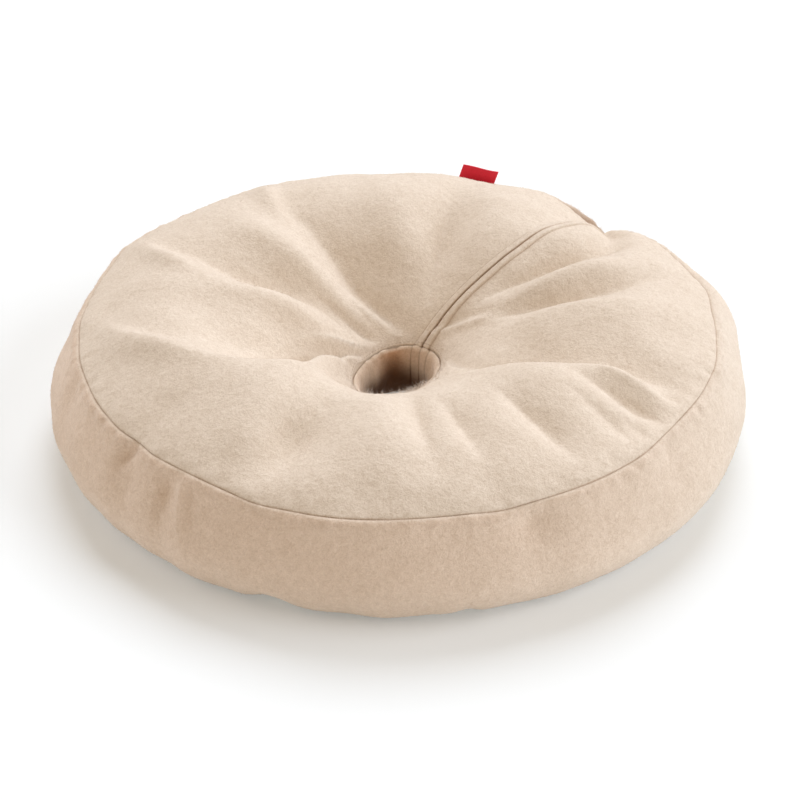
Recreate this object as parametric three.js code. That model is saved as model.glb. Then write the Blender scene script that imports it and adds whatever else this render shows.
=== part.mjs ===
// Donut cat bed: a round stuffed cushion of napped cloth with a sleeve sewn through its middle.
// Millimetres, +Z up. The origin is on the floor under the middle of the bed.
// Bearings are degrees, counter-clockwise from +X seen from above; the front of the bed is at 270.
import * as THREE from "three";

// Driving sizes
const BULGE_RADIUS = 275; // fullest part of the side band
const BULGE_HEIGHT = 38;
const BAND_REACH = 37; // how far the band stands out past the flat of the base
const BAND_BOW = 1.5; // 1 would make the band straight from the rim seam to its fullest part
const FOOT_SEAM_SHARE = 0.42; // where in the band's reach its lower seam lies
const FOOT_SEAM_HEIGHT = 4.4;
const SEAM_RADIUS = 250; // rim seam between top panel and side band
const SEAM_HEIGHT = 90;
const CROWN_RADIUS = 168; // ring where the top stands highest
const CROWN_HEIGHT = 117;
const HOLE_RADIUS = 29.5; // clear radius of the sleeve
const HOLE_EDGE_HEIGHT = 45; // where the sleeve turns out over the edge of the hole
const SLEEVE_FOOT_HEIGHT = 7;
const BASE_LIFT_REACH = 42; // width of the ring round the hole where the base is drawn up
const GROOVE_SIDE = 2.5; // from the middle of the rim seam's groove to the cloth on either side
const CLOTH = 2;
const GAP = 0.3; // between separate pieces

// Slopes of the top panel, as rise over run
const SLOPE_AT_HOLE = 1.05;
const SLOPE_AT_SEAM = -0.62;

// The hole is pulled long towards the closing, a little off the middle, and its right side stands higher
const HOLE_STRETCH = 0.12;
const HOLE_STRETCH_BEARING = 58;
const HOLE_SHIFT = new THREE.Vector2(-1, -2);
const HOLE_TILT = 0.09; // rise over run, towards +X
const HOLE_INFLUENCE = 110; // radius beyond which the hole's uneven shape is no longer felt

// Straight closing from the hole to the rim: two folded lips side by side
const CLOSING_BEARING = 41.5;
const CLOSING_OFFSET = 11; // how far beside the middle of the hole it sets out
const CLOSING_STRAIGHT_FROM = 140; // radius from which it runs straight out
const LIP_WIDTH = 6.5;
const LIP_RISE = 2.4;
const LIP_PARTING = 1.4; // depth of the gap between the lips
const CLOSING_END = 0.93; // share of the way to the rim where the lips die out

// Label tab in the rim seam
const TAB_BEARING = 74.4;
const TAB_HEIGHT = 13.5;
const TAB_THICKNESS = 1.4;
const TAB_LEAN = 4; // sideways shift of its top edge
const TAB_CLEARANCE = 0.45; // above the floor of the seam groove, which slopes a little
const TAB_COLUMNS = 3;

// Mesh fineness
const COLUMNS = 144;
const TOP_ROWS = 16;
const SLEEVE_COLUMNS = 72;

// Main folds of the top panel, one row each: round mounds and the pointed troughs between them. path holds
// a fold's bearings at the path shares; from, peak and to are shares of the way out; rise is up (or down,
// for a trough) in millimetres; ccw and cw are the widths of its two flanks at mid radius.
const PATH_SHARES = [0.05, 0.2, 0.4, 0.7, 1];
const TROUGH_POWER = 1.25; // 2 would make troughs as round as mounds
const TROUGH_ROUND = 0.12; // share of a trough's flank that is rounded at its bottom
const FOLDS = [
  { path: [100, 113, 117, 121, 116], from: 0, peak: 0.3, to: 1, rise: -21, ccw: 24, cw: 32 },
  { path: [128, 128, 127, 123.5, 118], from: 0.5, peak: 0.8, to: 1.03, rise: 6, ccw: 8, cw: 7 },
  { path: [86, 90, 90, 91, 92], from: 0, peak: 0.35, to: 0.95, rise: 7, ccw: 24, cw: 26 },
  { path: [66, 70, 73, 75, 77], from: 0.05, peak: 0.42, to: 0.9, rise: -14, ccw: 14, cw: 26 },
  { path: [60, 59, 59, 60, 60], from: 0.05, peak: 0.45, to: 0.9, rise: 6, ccw: 18, cw: 26 },
  { path: [25, 25, 25, 28, 45], from: 0.6, peak: 0.9, to: 1, rise: -12, ccw: 14, cw: 16 },
  { path: [40, 33, 28, 28, 34], from: 0.1, peak: 0.55, to: 1, rise: -15, ccw: 12, cw: 9 },
  { path: [26, 20, 18, 18, 21], from: 0.1, peak: 0.5, to: 1, rise: 5, ccw: 10, cw: 14 },
  { path: [26, 13, 8, 10, 18], from: 0.08, peak: 0.5, to: 1.02, rise: -14, ccw: 14, cw: 9 },
  { path: [356, 356, 356, 358, 362], from: 0.1, peak: 0.5, to: 1, rise: 6, ccw: 12, cw: 34 },
  { path: [308, 316, 325, 334, 339], from: 0, peak: 0.4, to: 1.02, rise: -22, ccw: 42, cw: 14 },
  { path: [300, 308, 316, 326, 333], from: 0.02, peak: 0.45, to: 1, rise: 7, ccw: 12, cw: 40 },
  { path: [328, 328, 329, 333, 337], from: 0.5, peak: 0.8, to: 1.03, rise: -8, ccw: 16, cw: 8 },
  { path: [324, 324, 325, 328, 332], from: 0.5, peak: 0.82, to: 1.03, rise: 6, ccw: 6, cw: 6 },
  { path: [320, 320, 320, 322, 326], from: 0.55, peak: 0.86, to: 1.03, rise: -12, ccw: 8, cw: 7 },
  { path: [314, 314, 314, 315.5, 317], from: 0.6, peak: 0.88, to: 1.02, rise: -6, ccw: 7, cw: 8 },
  { path: [297, 298, 300, 302.5, 305], from: 0.42, peak: 0.74, to: 1, rise: -11, ccw: 14, cw: 9 },
  { path: [282, 282, 283.5, 286, 289], from: 0.38, peak: 0.64, to: 0.9, rise: -9, ccw: 16, cw: 9 },
  { path: [275, 275, 275, 276, 278], from: 0.3, peak: 0.6, to: 0.9, rise: -9, ccw: 11, cw: 11 },
  { path: [264, 264, 265, 266, 268], from: 0.4, peak: 0.72, to: 1, rise: 4, ccw: 20, cw: 24 },
  { path: [242, 253, 257, 260, 262], from: 0, peak: 0.15, to: 0.5, rise: -16, ccw: 50, cw: 38 },
  { path: [249, 249, 249, 247.5, 244], from: 0.3, peak: 0.72, to: 1, rise: -13, ccw: 24, cw: 14 },
  { path: [236, 236, 236, 236, 236], from: 0.3, peak: 0.7, to: 1, rise: 5, ccw: 12, cw: 20 },
  { path: [230, 233, 230, 208, 178], from: 0.12, peak: 0.44, to: 1.02, rise: 12, ccw: 50, cw: 16 },
  { path: [183, 208, 217, 217, 217], from: 0, peak: 0.14, to: 0.5, rise: 10, ccw: 55, cw: 7 },
  { path: [174, 203, 211, 207, 199], from: 0, peak: 0.26, to: 0.66, rise: -25, ccw: 11, cw: 32 },
  { path: [196, 196, 197, 195, 190], from: 0.12, peak: 0.42, to: 0.8, rise: -10, ccw: 44, cw: 50 },
  { path: [156, 164, 169, 169, 162], from: 0, peak: 0.26, to: 0.8, rise: 10, ccw: 20, cw: 22 },
  { path: [168, 168, 168, 162, 151], from: 0.45, peak: 0.8, to: 1.02, rise: 6, ccw: 9, cw: 8 },
  { path: [136, 144, 156, 155, 150], from: 0.02, peak: 0.42, to: 0.95, rise: -16, ccw: 15, cw: 28 },
  { path: [124, 131, 135, 137, 135], from: 0, peak: 0.35, to: 0.95, rise: 8, ccw: 20, cw: 18 },
];

// Uneven rim seam: at is the bearing, ccw and cw its reach to either side in degrees
const RIM = [
  { at: 46.5, ccw: 9, cw: 7, out: -1, up: -16 },
  { at: 46, ccw: 3, cw: 2.2, out: 0, up: -6 },
  { at: 69, ccw: 9, cw: 7, out: 0, up: -5 },
  { at: 92, ccw: 10, cw: 10, out: 0, up: -3 },
  { at: 13, ccw: 6, cw: 6, out: 4, up: 0 },
  { at: 327, ccw: 12, cw: 9, out: -4, up: 0 },
  { at: 258, ccw: 14, cw: 14, out: 3, up: -1 },
  { at: 232, ccw: 8, cw: 8, out: -2, up: 0 },
  { at: 150, ccw: 8, cw: 10, out: 4, up: 1 },
  { at: 246, ccw: 4, cw: 4, out: 0, up: -2 },
  { at: 287, ccw: 4, cw: 4, out: 0, up: -2 },
  { at: 219, ccw: 3, cw: 3, out: -3, up: -1 },
];

// Upright creases in the side band, as bearing, half-width in degrees and depth; it stands fuller where
// the depth is negative
const BAND_CREASES = [
  { at: 221, width: 3, depth: 3 },
  { at: 230, width: 2.4, depth: 2.4 },
  { at: 293, width: 4, depth: 2 },
  { at: 172, width: 4, depth: 3 },
  { at: 95, width: 5, depth: 2.5 },
  { at: 19, width: 9.5, depth: -14 },
];

// Places where the foot of the band is puckered and lifts off the floor
const FOOT_LIFTS = [
  { at: 249, width: 3.4, rise: 7 },
  { at: 281, width: 2, rise: 5 },
  { at: 130, width: 3, rise: 5 },
  { at: 18, width: 3, rise: 5 },
];

// Plain helpers
const radians = THREE.MathUtils.degToRad;
const lerp = THREE.MathUtils.lerp;
const ease = (x) => THREE.MathUtils.smoothstep(x, 0, 1);
const lobe = (x) => Math.exp(-x * x);
const crease = (x) => Math.exp(TROUGH_ROUND ** TROUGH_POWER - Math.hypot(x, TROUGH_ROUND) ** TROUGH_POWER);
const turn = (angle) => angle - 360 * Math.round(angle / 360); // into -180 to 180 degrees

// Cubic between two heights with given end slopes
function cubic(x, length, start, startSlope, end, endSlope) {
  const u = x / length;
  const rise = (2 * u ** 3 - 3 * u ** 2 + 1) * start + (3 * u ** 2 - 2 * u ** 3) * end;
  const bend = (u ** 3 - 2 * u ** 2 + u) * startSlope + (u ** 3 - u ** 2) * endSlope;
  return rise + bend * length;
}

// Sleeve: middle line of its cloth from the foot up and out over the edge of the hole
const SLEEVE_LINE = [
  new THREE.Vector2(HOLE_RADIUS + 5, SLEEVE_FOOT_HEIGHT),
  new THREE.Vector2(HOLE_RADIUS + 2.4, SLEEVE_FOOT_HEIGHT + 7),
  new THREE.Vector2(HOLE_RADIUS + CLOTH / 2, lerp(SLEEVE_FOOT_HEIGHT, HOLE_EDGE_HEIGHT, 0.55)),
  new THREE.Vector2(HOLE_RADIUS + CLOTH / 2 + 0.4, HOLE_EDGE_HEIGHT - 5),
  new THREE.Vector2(HOLE_RADIUS + CLOTH / 2 + 1.8, HOLE_EDGE_HEIGHT),
  new THREE.Vector2(HOLE_RADIUS + CLOTH / 2 + 4.6, HOLE_EDGE_HEIGHT + 3.2),
];

// The sleeve's line moved sideways: positive goes to the stuffed side of the cloth
function sleeveOffset(distance) {
  return SLEEVE_LINE.map((point, i) => {
    const before = SLEEVE_LINE[Math.max(i - 1, 0)];
    const after = SLEEVE_LINE[Math.min(i + 1, SLEEVE_LINE.length - 1)];
    const along = after.clone().sub(before).normalize();
    return new THREE.Vector2(point.x + along.y * distance, point.y - along.x * distance);
  });
}

const LIP_END = SLEEVE_LINE[SLEEVE_LINE.length - 1];
const TOP_START_RADIUS = LIP_END.x + 1.2;
const TOP_START_HEIGHT = LIP_END.y + 1.6;
const TOP_END_RADIUS = SEAM_RADIUS - GROOVE_SIDE;
const TOP_END_HEIGHT = SEAM_HEIGHT + 0.8;

// Height of the even, unfolded top panel
function dishHeight(radius) {
  if (radius < CROWN_RADIUS) {
    const run = CROWN_RADIUS - TOP_START_RADIUS;
    return cubic(radius - TOP_START_RADIUS, run, TOP_START_HEIGHT, SLOPE_AT_HOLE, CROWN_HEIGHT, 0);
  }
  const run = TOP_END_RADIUS - CROWN_RADIUS;
  return cubic(radius - CROWN_RADIUS, run, CROWN_HEIGHT, 0, TOP_END_HEIGHT, SLOPE_AT_SEAM);
}

// A row of a section that follows none of the cover's unevenness
const PLAIN = { fold: 0, rim: 0, band: 0, foot: 0 };

// Section of the stuffed cover, once round: up the hole, out over the top, down the band, in under the
// base. fold, rim, band and foot say how much each row follows the folds, rim, creases and foot lifts.
function cushionSection() {
  const rows = [];
  const row = (r, z, follow = {}) => rows.push({ r, z, ...PLAIN, ...follow });

  for (const point of sleeveOffset(CLOTH / 2 + GAP)) row(point.x, point.y);

  for (let k = 0; k <= TOP_ROWS; k++) {
    const share = k / TOP_ROWS;
    const r = lerp(TOP_START_RADIUS, TOP_END_RADIUS, share);
    row(r, dishHeight(r), { fold: 1, rim: ease((share - 0.5) / 0.5) });
  }

  // Seam groove, wide enough for the tab to stand in it
  row(SEAM_RADIUS - 1.1, SEAM_HEIGHT - 2.2, { rim: 1 });
  row(SEAM_RADIUS + 0.9, SEAM_HEIGHT - 2.6, { rim: 1 });

  // Band: barely bowed above its fullest part, by the share of the way up, and round below it
  const flatRadius = BULGE_RADIUS - BAND_REACH;
  const drawnIn = BULGE_RADIUS - SEAM_RADIUS - GROOVE_SIDE;
  for (const share of [1, 0.78, 0.53, 0.25, 0]) {
    const z = lerp(BULGE_HEIGHT, SEAM_HEIGHT - 1, share);
    row(BULGE_RADIUS - drawnIn * share ** BAND_BOW, z, { rim: ease(share), band: 1 - share ** 2 });
  }
  for (const angle of [15, 31, 46, 60]) {
    const r = flatRadius + BAND_REACH * Math.cos(radians(angle));
    const z = BULGE_HEIGHT * (1 - Math.sin(radians(angle)));
    row(r, z, { band: Math.cos(radians(angle * 1.3)), foot: ease((angle - 8) / 52) });
  }

  // Lower seam, tucked in just off the floor, then the flat base and its lift round the hole
  const footRadius = flatRadius + BAND_REACH * FOOT_SEAM_SHARE;
  row(footRadius, FOOT_SEAM_HEIGHT, { foot: 1 });
  row(footRadius - 4, 1, { foot: 0.8 });
  row(flatRadius, 0);
  row(HOLE_RADIUS + BASE_LIFT_REACH, 0);
  row(HOLE_RADIUS + BASE_LIFT_REACH * 0.42, SLEEVE_FOOT_HEIGHT * 0.37);
  row(HOLE_RADIUS + 6.5, SLEEVE_FOOT_HEIGHT - 1.2);
  return rows;
}

// Bearing of the closing at a given radius
function closingBearing(radius) {
  const share = (radius - HOLE_RADIUS) / (CLOSING_STRAIGHT_FROM - HOLE_RADIUS);
  return CLOSING_BEARING + THREE.MathUtils.radToDeg((CLOSING_OFFSET * ease(1 - share)) / radius);
}

// Columns beside the closing keep a set distance from it, so that its lips have straight edges
const CLOSING_OFFSETS = [
  -1.9 * LIP_WIDTH,
  -1.15 * LIP_WIDTH,
  -0.95 * LIP_WIDTH,
  -0.15 * LIP_WIDTH,
  0,
  0.15 * LIP_WIDTH,
  0.95 * LIP_WIDTH,
  1.15 * LIP_WIDTH,
  1.9 * LIP_WIDTH,
];
const CLOSING_RISES = [0, 0, LIP_RISE, LIP_RISE * 0.8, -LIP_PARTING, LIP_RISE * 0.8, LIP_RISE, 0, 0];

// Inside the top panel's inner edge the columns run straight down
function columnBearing(column, rowRadius) {
  const radius = Math.max(rowRadius, TOP_START_RADIUS);
  const middle = closingBearing(radius);
  const last = CLOSING_OFFSETS.length - 1;
  const along = THREE.MathUtils.radToDeg(1 / radius);
  if (column <= last) return middle + CLOSING_OFFSETS[column] * along;
  const spread = 360 - 2 * CLOSING_OFFSETS[last] * along;
  const share = (column - last) / (COLUMNS - last);
  return middle + CLOSING_OFFSETS[last] * along + share * spread;
}

// Bearing of a fold's line on its smooth way out
function crestBearing(path, share) {
  const last = path.length - 1;
  const at = THREE.MathUtils.clamp(share, PATH_SHARES[0], PATH_SHARES[last]);
  const k = Math.max(PATH_SHARES.findIndex((end) => at <= end) - 1, 0);
  const slope = (i) => {
    const before = Math.max(i - 1, 0);
    const after = Math.min(i + 1, last);
    return (path[after] - path[before]) / (PATH_SHARES[after] - PATH_SHARES[before]);
  };
  const run = PATH_SHARES[k + 1] - PATH_SHARES[k];
  return cubic(at - PATH_SHARES[k], run, path[k], slope(k), path[k + 1], slope(k + 1));
}

// Height that the folds add to the top panel
function foldHeight(bearing, radius) {
  const share = (radius - TOP_START_RADIUS) / (TOP_END_RADIUS - TOP_START_RADIUS);
  const midRadius = (TOP_START_RADIUS + TOP_END_RADIUS) / 2;
  const breadth = 0.35 + 0.65 * (radius / midRadius);
  let height = 0;
  for (const fold of FOLDS) {
    const away = radians(turn(bearing - crestBearing(fold.path, share))) * radius;
    const flank = (away > 0 ? fold.ccw : fold.cw) * breadth;
    const along = share < fold.peak
      ? ease((share - fold.from) / (fold.peak - fold.from))
      : ease((fold.to - share) / (fold.to - fold.peak));
    const across = fold.rise > 0 ? lobe(away / flank) : crease(away / flank);
    height += fold.rise * along * across;
  }
  return height;
}

// Height of the closing's lips at one of its own columns
function lipHeight(column, radius) {
  if (column >= CLOSING_RISES.length) return 0;
  const share = (radius - TOP_START_RADIUS) / (TOP_END_RADIUS - TOP_START_RADIUS);
  return CLOSING_RISES[column] * ease((CLOSING_END - share) / 0.12) * ease(share / 0.06);
}

// Sum of a table's lobes round the bed
function around(table, bearing, value) {
  return table.reduce((sum, entry) => {
    const away = turn(bearing - entry.at);
    const reach = entry.width ?? (away > 0 ? entry.ccw : entry.cw);
    return sum + value(entry) * lobe(away / reach);
  }, 0);
}

// A point of the bed, with the pull on the hole and the unevenness of its row
function place(bearing, row, extraHeight = 0) {
  const nearHole = ease((HOLE_INFLUENCE - row.r) / (HOLE_INFLUENCE - HOLE_RADIUS));
  const stretch = 1 + HOLE_STRETCH * nearHole * Math.cos(2 * radians(bearing - HOLE_STRETCH_BEARING));
  const out = row.rim * around(RIM, bearing, (entry) => entry.out);
  const dent = row.band * around(BAND_CREASES, bearing, (entry) => entry.depth);
  const radius = row.r * stretch + out - dent;
  const up = row.rim * around(RIM, bearing, (entry) => entry.up);
  const lift = row.foot * around(FOOT_LIFTS, bearing, (entry) => entry.rise);
  const angle = radians(bearing);
  const raised = ease((row.z - SLEEVE_FOOT_HEIGHT) / (HOLE_EDGE_HEIGHT - SLEEVE_FOOT_HEIGHT));
  const tilt = HOLE_TILT * nearHole * raised * radius * Math.cos(angle);
  return new THREE.Vector3(
    radius * Math.cos(angle) + HOLE_SHIFT.x * nearHole,
    radius * Math.sin(angle) + HOLE_SHIFT.y * nearHole,
    row.z + up + lift + tilt + extraHeight,
  );
}

const SECTION = cushionSection();

// A point of the stuffed cover by its column and row
function cushionPoint(column, row) {
  const bearing = columnBearing(column % COLUMNS, row.r);
  const extra = row.fold ? foldHeight(bearing, row.r) + lipHeight(column % COLUMNS, row.r) : 0;
  return place(bearing, row, extra);
}

// A lathe of a closed section whose points are then moved to where the cloth really lies
function shapedLathe(section, columns, pointAt) {
  const profile = [...section, section[0]].map((row) => new THREE.Vector2(row.r, row.z));
  const geometry = new THREE.LatheGeometry(profile, columns);
  const position = geometry.getAttribute("position");
  for (let column = 0; column <= columns; column++) {
    profile.forEach((_, index) => {
      const point = pointAt((columns - column) % columns, section[index % section.length]);
      position.setXYZ(column * profile.length + index, point.x, point.y, point.z);
    });
  }
  geometry.computeVertexNormals();
  return geometry;
}

function donutCushion() {
  return shapedLathe(SECTION, COLUMNS, cushionPoint);
}

// Sleeve of cloth that lines the hole
function centreSleeve() {
  const stuffedSide = sleeveOffset(CLOTH / 2).reverse();
  const clearSide = sleeveOffset(-CLOTH / 2);
  const section = [...clearSide, ...stuffedSide].map((point) => ({ r: point.x, z: point.y, ...PLAIN }));
  return shapedLathe(section, SLEEVE_COLUMNS, (column, row) => place((360 * column) / SLEEVE_COLUMNS, row));
}

// Folded ribbon that stands in the rim seam, as wide as a few columns of the cover
function labelTab() {
  const groove = SECTION.findIndex((row) => row.r > TOP_END_RADIUS);
  const columns = Array.from({ length: COLUMNS }, (_, column) => column);
  const off = (column) => Math.abs(turn(columnBearing(column, SEAM_RADIUS) - TAB_BEARING));
  const nearest = columns.reduce((best, column) => (off(column) < off(best) ? column : best));
  const first = nearest - Math.floor(TAB_COLUMNS / 2);

  const geometry = new THREE.BoxGeometry(1, 1, 1, TAB_COLUMNS, 3, 1);
  const position = geometry.getAttribute("position");
  const up = new THREE.Vector3(0, 0, 1);
  for (let i = 0; i < position.count; i++) {
    const column = first + Math.round((position.getX(i) + 0.5) * TAB_COLUMNS);
    const share = position.getY(i) + 0.5;
    const inner = cushionPoint(column, SECTION[groove]);
    const floor = inner.clone().lerp(cushionPoint(column, SECTION[groove + 1]), 0.5);
    const outward = floor.clone().sub(inner).setZ(0).normalize();
    const sideways = new THREE.Vector3().crossVectors(up, outward);
    floor.addScaledVector(outward, position.getZ(i) * TAB_THICKNESS * (1 - 0.25 * share ** 6));
    floor.addScaledVector(up, TAB_CLEARANCE + share * TAB_HEIGHT);
    floor.addScaledVector(sideways, -TAB_LEAN * share);
    position.setXYZ(i, floor.x, floor.y, floor.z);
  }
  geometry.computeVertexNormals();
  return geometry;
}

const clothMaterial = new THREE.MeshStandardMaterial({ color: 0xdcc8b2, roughness: 0.95, metalness: 0 });
const sleeveMaterial = new THREE.MeshStandardMaterial({ color: 0xd0b89e, roughness: 0.95, metalness: 0 });
const tabMaterial = new THREE.MeshStandardMaterial({ color: 0xc8102e, roughness: 0.8, metalness: 0 });

function node(name, geometry, material) {
  const mesh = new THREE.Mesh(geometry, material);
  mesh.name = name;
  return mesh;
}

const bed = new THREE.Group();
bed.name = "donut_cat_bed";
bed.add(node("donut_cushion", donutCushion(), clothMaterial));
bed.add(node("centre_tube", centreSleeve(), sleeveMaterial));
bed.add(node("label_tab", labelTab(), tabMaterial));

export default bed;
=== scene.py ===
"""Dresses the donut cat bed: stuffed napped cover, sewn-in sleeve, plain red tab, stitching and pile.

Sizes are millimetres in the bed's own frame, +Z up, with the origin on the floor under its middle.
Bearings are degrees counter-clockwise from +X seen from above, so the front of the bed is at 270.
Meshes are made in metres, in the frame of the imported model.
"""

from __future__ import annotations

import logging
import math
from dataclasses import dataclass, field
from enum import Enum
from typing import Any, NamedTuple

import bpy
import numpy as np
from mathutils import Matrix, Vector

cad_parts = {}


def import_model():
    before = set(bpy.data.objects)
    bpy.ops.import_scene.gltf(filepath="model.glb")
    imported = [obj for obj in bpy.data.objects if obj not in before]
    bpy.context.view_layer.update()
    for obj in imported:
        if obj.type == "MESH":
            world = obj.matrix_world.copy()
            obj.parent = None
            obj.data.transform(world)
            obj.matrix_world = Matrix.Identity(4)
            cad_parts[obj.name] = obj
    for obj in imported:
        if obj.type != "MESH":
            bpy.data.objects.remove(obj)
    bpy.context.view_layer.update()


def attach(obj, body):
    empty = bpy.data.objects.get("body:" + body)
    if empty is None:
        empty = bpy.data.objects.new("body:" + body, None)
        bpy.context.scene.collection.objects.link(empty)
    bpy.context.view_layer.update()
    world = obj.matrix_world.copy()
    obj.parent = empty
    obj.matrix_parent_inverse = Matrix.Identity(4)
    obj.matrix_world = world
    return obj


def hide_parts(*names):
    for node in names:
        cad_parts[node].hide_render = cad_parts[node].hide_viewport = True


LOG = logging.getLogger("donut_cat_bed")
MM = 0.001
BAKE_MAP = "OFBake"

Colour = tuple[float, float, float]
Place = tuple[float, float, float]
Pair = tuple[float, float]
Values = np.ndarray | float


class Panel(Enum):
    """Cloth panels of the cover, in the order of its section."""

    WALL = 0
    TOP = 1
    BAND = 2
    BASE = 3


class Fold(NamedTuple):
    """Ridge or trough of the top panel.

    path holds the crest's bearings at the path shares; start, peak and stop are shares of the way out;
    rise is in millimetres; ccw and cw are the widths of its flanks half-way out; reach draws the path
    shares in for a fold close to the hole.
    """

    path: tuple[float, ...]
    start: float
    peak: float
    stop: float
    rise: float
    ccw: float
    cw: float
    reach: float = 1.0


class RimShift(NamedTuple):
    """Place where the rim seam runs further out or up, with its reach to either side in degrees."""

    at: float
    ccw: float
    cw: float
    out: float
    up: float


class Dent(NamedTuple):
    """Local crease, lift or shade round the bed: bearing, half-width in degrees and size."""

    at: float
    width: float
    size: float

    def sized(self, bearing: np.ndarray) -> np.ndarray:
        """Its size at each bearing."""
        return self.size * lobe(turn(bearing - self.at) / self.width)


class BandFold(NamedTuple):
    """Ridge or crease of the side band.

    at is its bearing at the rim and lean its drift on the way down; start, peak and stop are shares of
    the way from rim to foot; rise is in millimetres and width in degrees.
    """

    at: float
    lean: float
    start: float
    peak: float
    stop: float
    rise: float
    width: float


PATH_SHARES = (0.05, 0.2, 0.4, 0.7, 1.0)
CREASE_POWER = 1.25
CREASE_ROUND = 0.12

# Distances from the closing, in millimetres, of the columns that keep to it on either side.
CLOSING_STEPS = (
    0.0, 0.35, 0.7, 1.1, 1.7, 2.5, 3.5, 4.5, 5.2, 5.6,
    5.9, 6.2, 6.5, 6.8, 7.2, 7.8, 8.8, 10.2, 12.0,
)
FAR_AWAY = 1000.0
CELL_MARGIN = 0.1

# Rings of one stitch: place along its half, thickness and depth, as shares of the full ones.
STITCH_PROFILE = (
    (-1.0, 0.35, 1.0),
    (-0.8, 0.85, 0.35),
    (0.0, 1.0, 0.0),
    (0.8, 0.85, 0.35),
    (1.0, 0.35, 1.0),
)

MAIN_FOLDS = (
    Fold((100, 113, 117, 121, 116), 0.0, 0.3, 1.0, -21, 24, 32),
    Fold((128, 128, 127, 123.5, 118), 0.5, 0.8, 1.03, 6, 8, 7),
    Fold((86, 90, 90, 91, 92), 0.0, 0.35, 0.95, 7, 24, 26),
    Fold((66, 70, 73, 75, 77), 0.05, 0.42, 0.9, -14, 14, 26),
    Fold((60, 59, 59, 60, 60), 0.05, 0.45, 0.9, 6, 18, 26),
    Fold((25, 25, 25, 28, 45), 0.6, 0.9, 1.0, -12, 14, 16),
    Fold((40, 33, 28, 28, 34), 0.1, 0.55, 1.0, -15, 12, 9),
    Fold((26, 20, 18, 18, 21), 0.1, 0.5, 1.0, 5, 10, 14),
    Fold((26, 13, 8, 10, 18), 0.08, 0.5, 1.02, -14, 14, 9),
    Fold((356, 356, 356, 358, 362), 0.1, 0.5, 1.0, 6, 12, 34),
    Fold((308, 316, 325, 334, 339), 0.0, 0.4, 1.02, -22, 42, 14),
    Fold((300, 308, 316, 326, 333), 0.02, 0.45, 1.0, 7, 12, 40),
    Fold((328, 328, 329, 333, 337), 0.5, 0.8, 1.03, -8, 16, 8),
    Fold((324, 324, 325, 328, 332), 0.5, 0.82, 1.03, 6, 6, 6),
    Fold((320, 320, 320, 322, 326), 0.55, 0.86, 1.03, -12, 8, 7),
    Fold((314, 314, 314, 315.5, 317), 0.6, 0.88, 1.02, -6, 7, 8),
    Fold((297, 298, 300, 302.5, 305), 0.42, 0.74, 1.0, -11, 14, 9),
    Fold((282, 282, 283.5, 286, 289), 0.38, 0.64, 0.9, -9, 16, 9),
    Fold((275, 275, 275, 276, 278), 0.3, 0.6, 0.9, -9, 11, 11),
    Fold((264, 264, 265, 266, 268), 0.4, 0.72, 1.0, 4, 20, 24),
    Fold((242, 253, 257, 260, 262), 0.0, 0.15, 0.5, -16, 50, 38),
    Fold((249, 249, 249, 247.5, 244), 0.3, 0.72, 1.0, -13, 24, 14),
    Fold((236, 236, 236, 236, 236), 0.3, 0.7, 1.0, 5, 12, 20),
    Fold((230, 233, 230, 208, 178), 0.12, 0.44, 1.02, 12, 50, 16),
    Fold((183, 208, 217, 217, 217), 0.0, 0.14, 0.5, 10, 55, 7),
    Fold((174, 203, 211, 207, 199), 0.0, 0.26, 0.66, -25, 11, 32),
    Fold((196, 196, 197, 195, 190), 0.12, 0.42, 0.8, -10, 44, 50),
    Fold((156, 164, 169, 169, 162), 0.0, 0.26, 0.8, 10, 20, 22),
    Fold((168, 168, 168, 162, 151), 0.45, 0.8, 1.02, 6, 9, 8),
    Fold((136, 144, 156, 155, 150), 0.02, 0.42, 0.95, -16, 15, 28),
    Fold((124, 131, 135, 137, 135), 0.0, 0.35, 0.95, 8, 20, 18),
)

RIM_SHIFTS = (
    RimShift(46.5, 9, 7, -1, -16),
    RimShift(46, 3, 2.2, 0, -6),
    RimShift(69, 9, 7, 0, -5),
    RimShift(92, 10, 10, 0, -3),
    RimShift(13, 6, 6, 4, 0),
    RimShift(327, 12, 9, -4, 0),
    RimShift(258, 14, 14, 3, -1),
    RimShift(232, 8, 8, -2, 0),
    RimShift(150, 8, 10, 4, 1),
    RimShift(246, 4, 4, 0, -2),
    RimShift(287, 4, 4, 0, -2),
    RimShift(219, 3, 3, -3, -1),
)

BAND_CREASES = (
    Dent(221, 3, 3),
    Dent(230, 2.4, 2.4),
    Dent(293, 4, 2),
    Dent(172, 4, 3),
    Dent(95, 5, 2.5),
    Dent(19, 9.5, -14),
)

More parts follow.
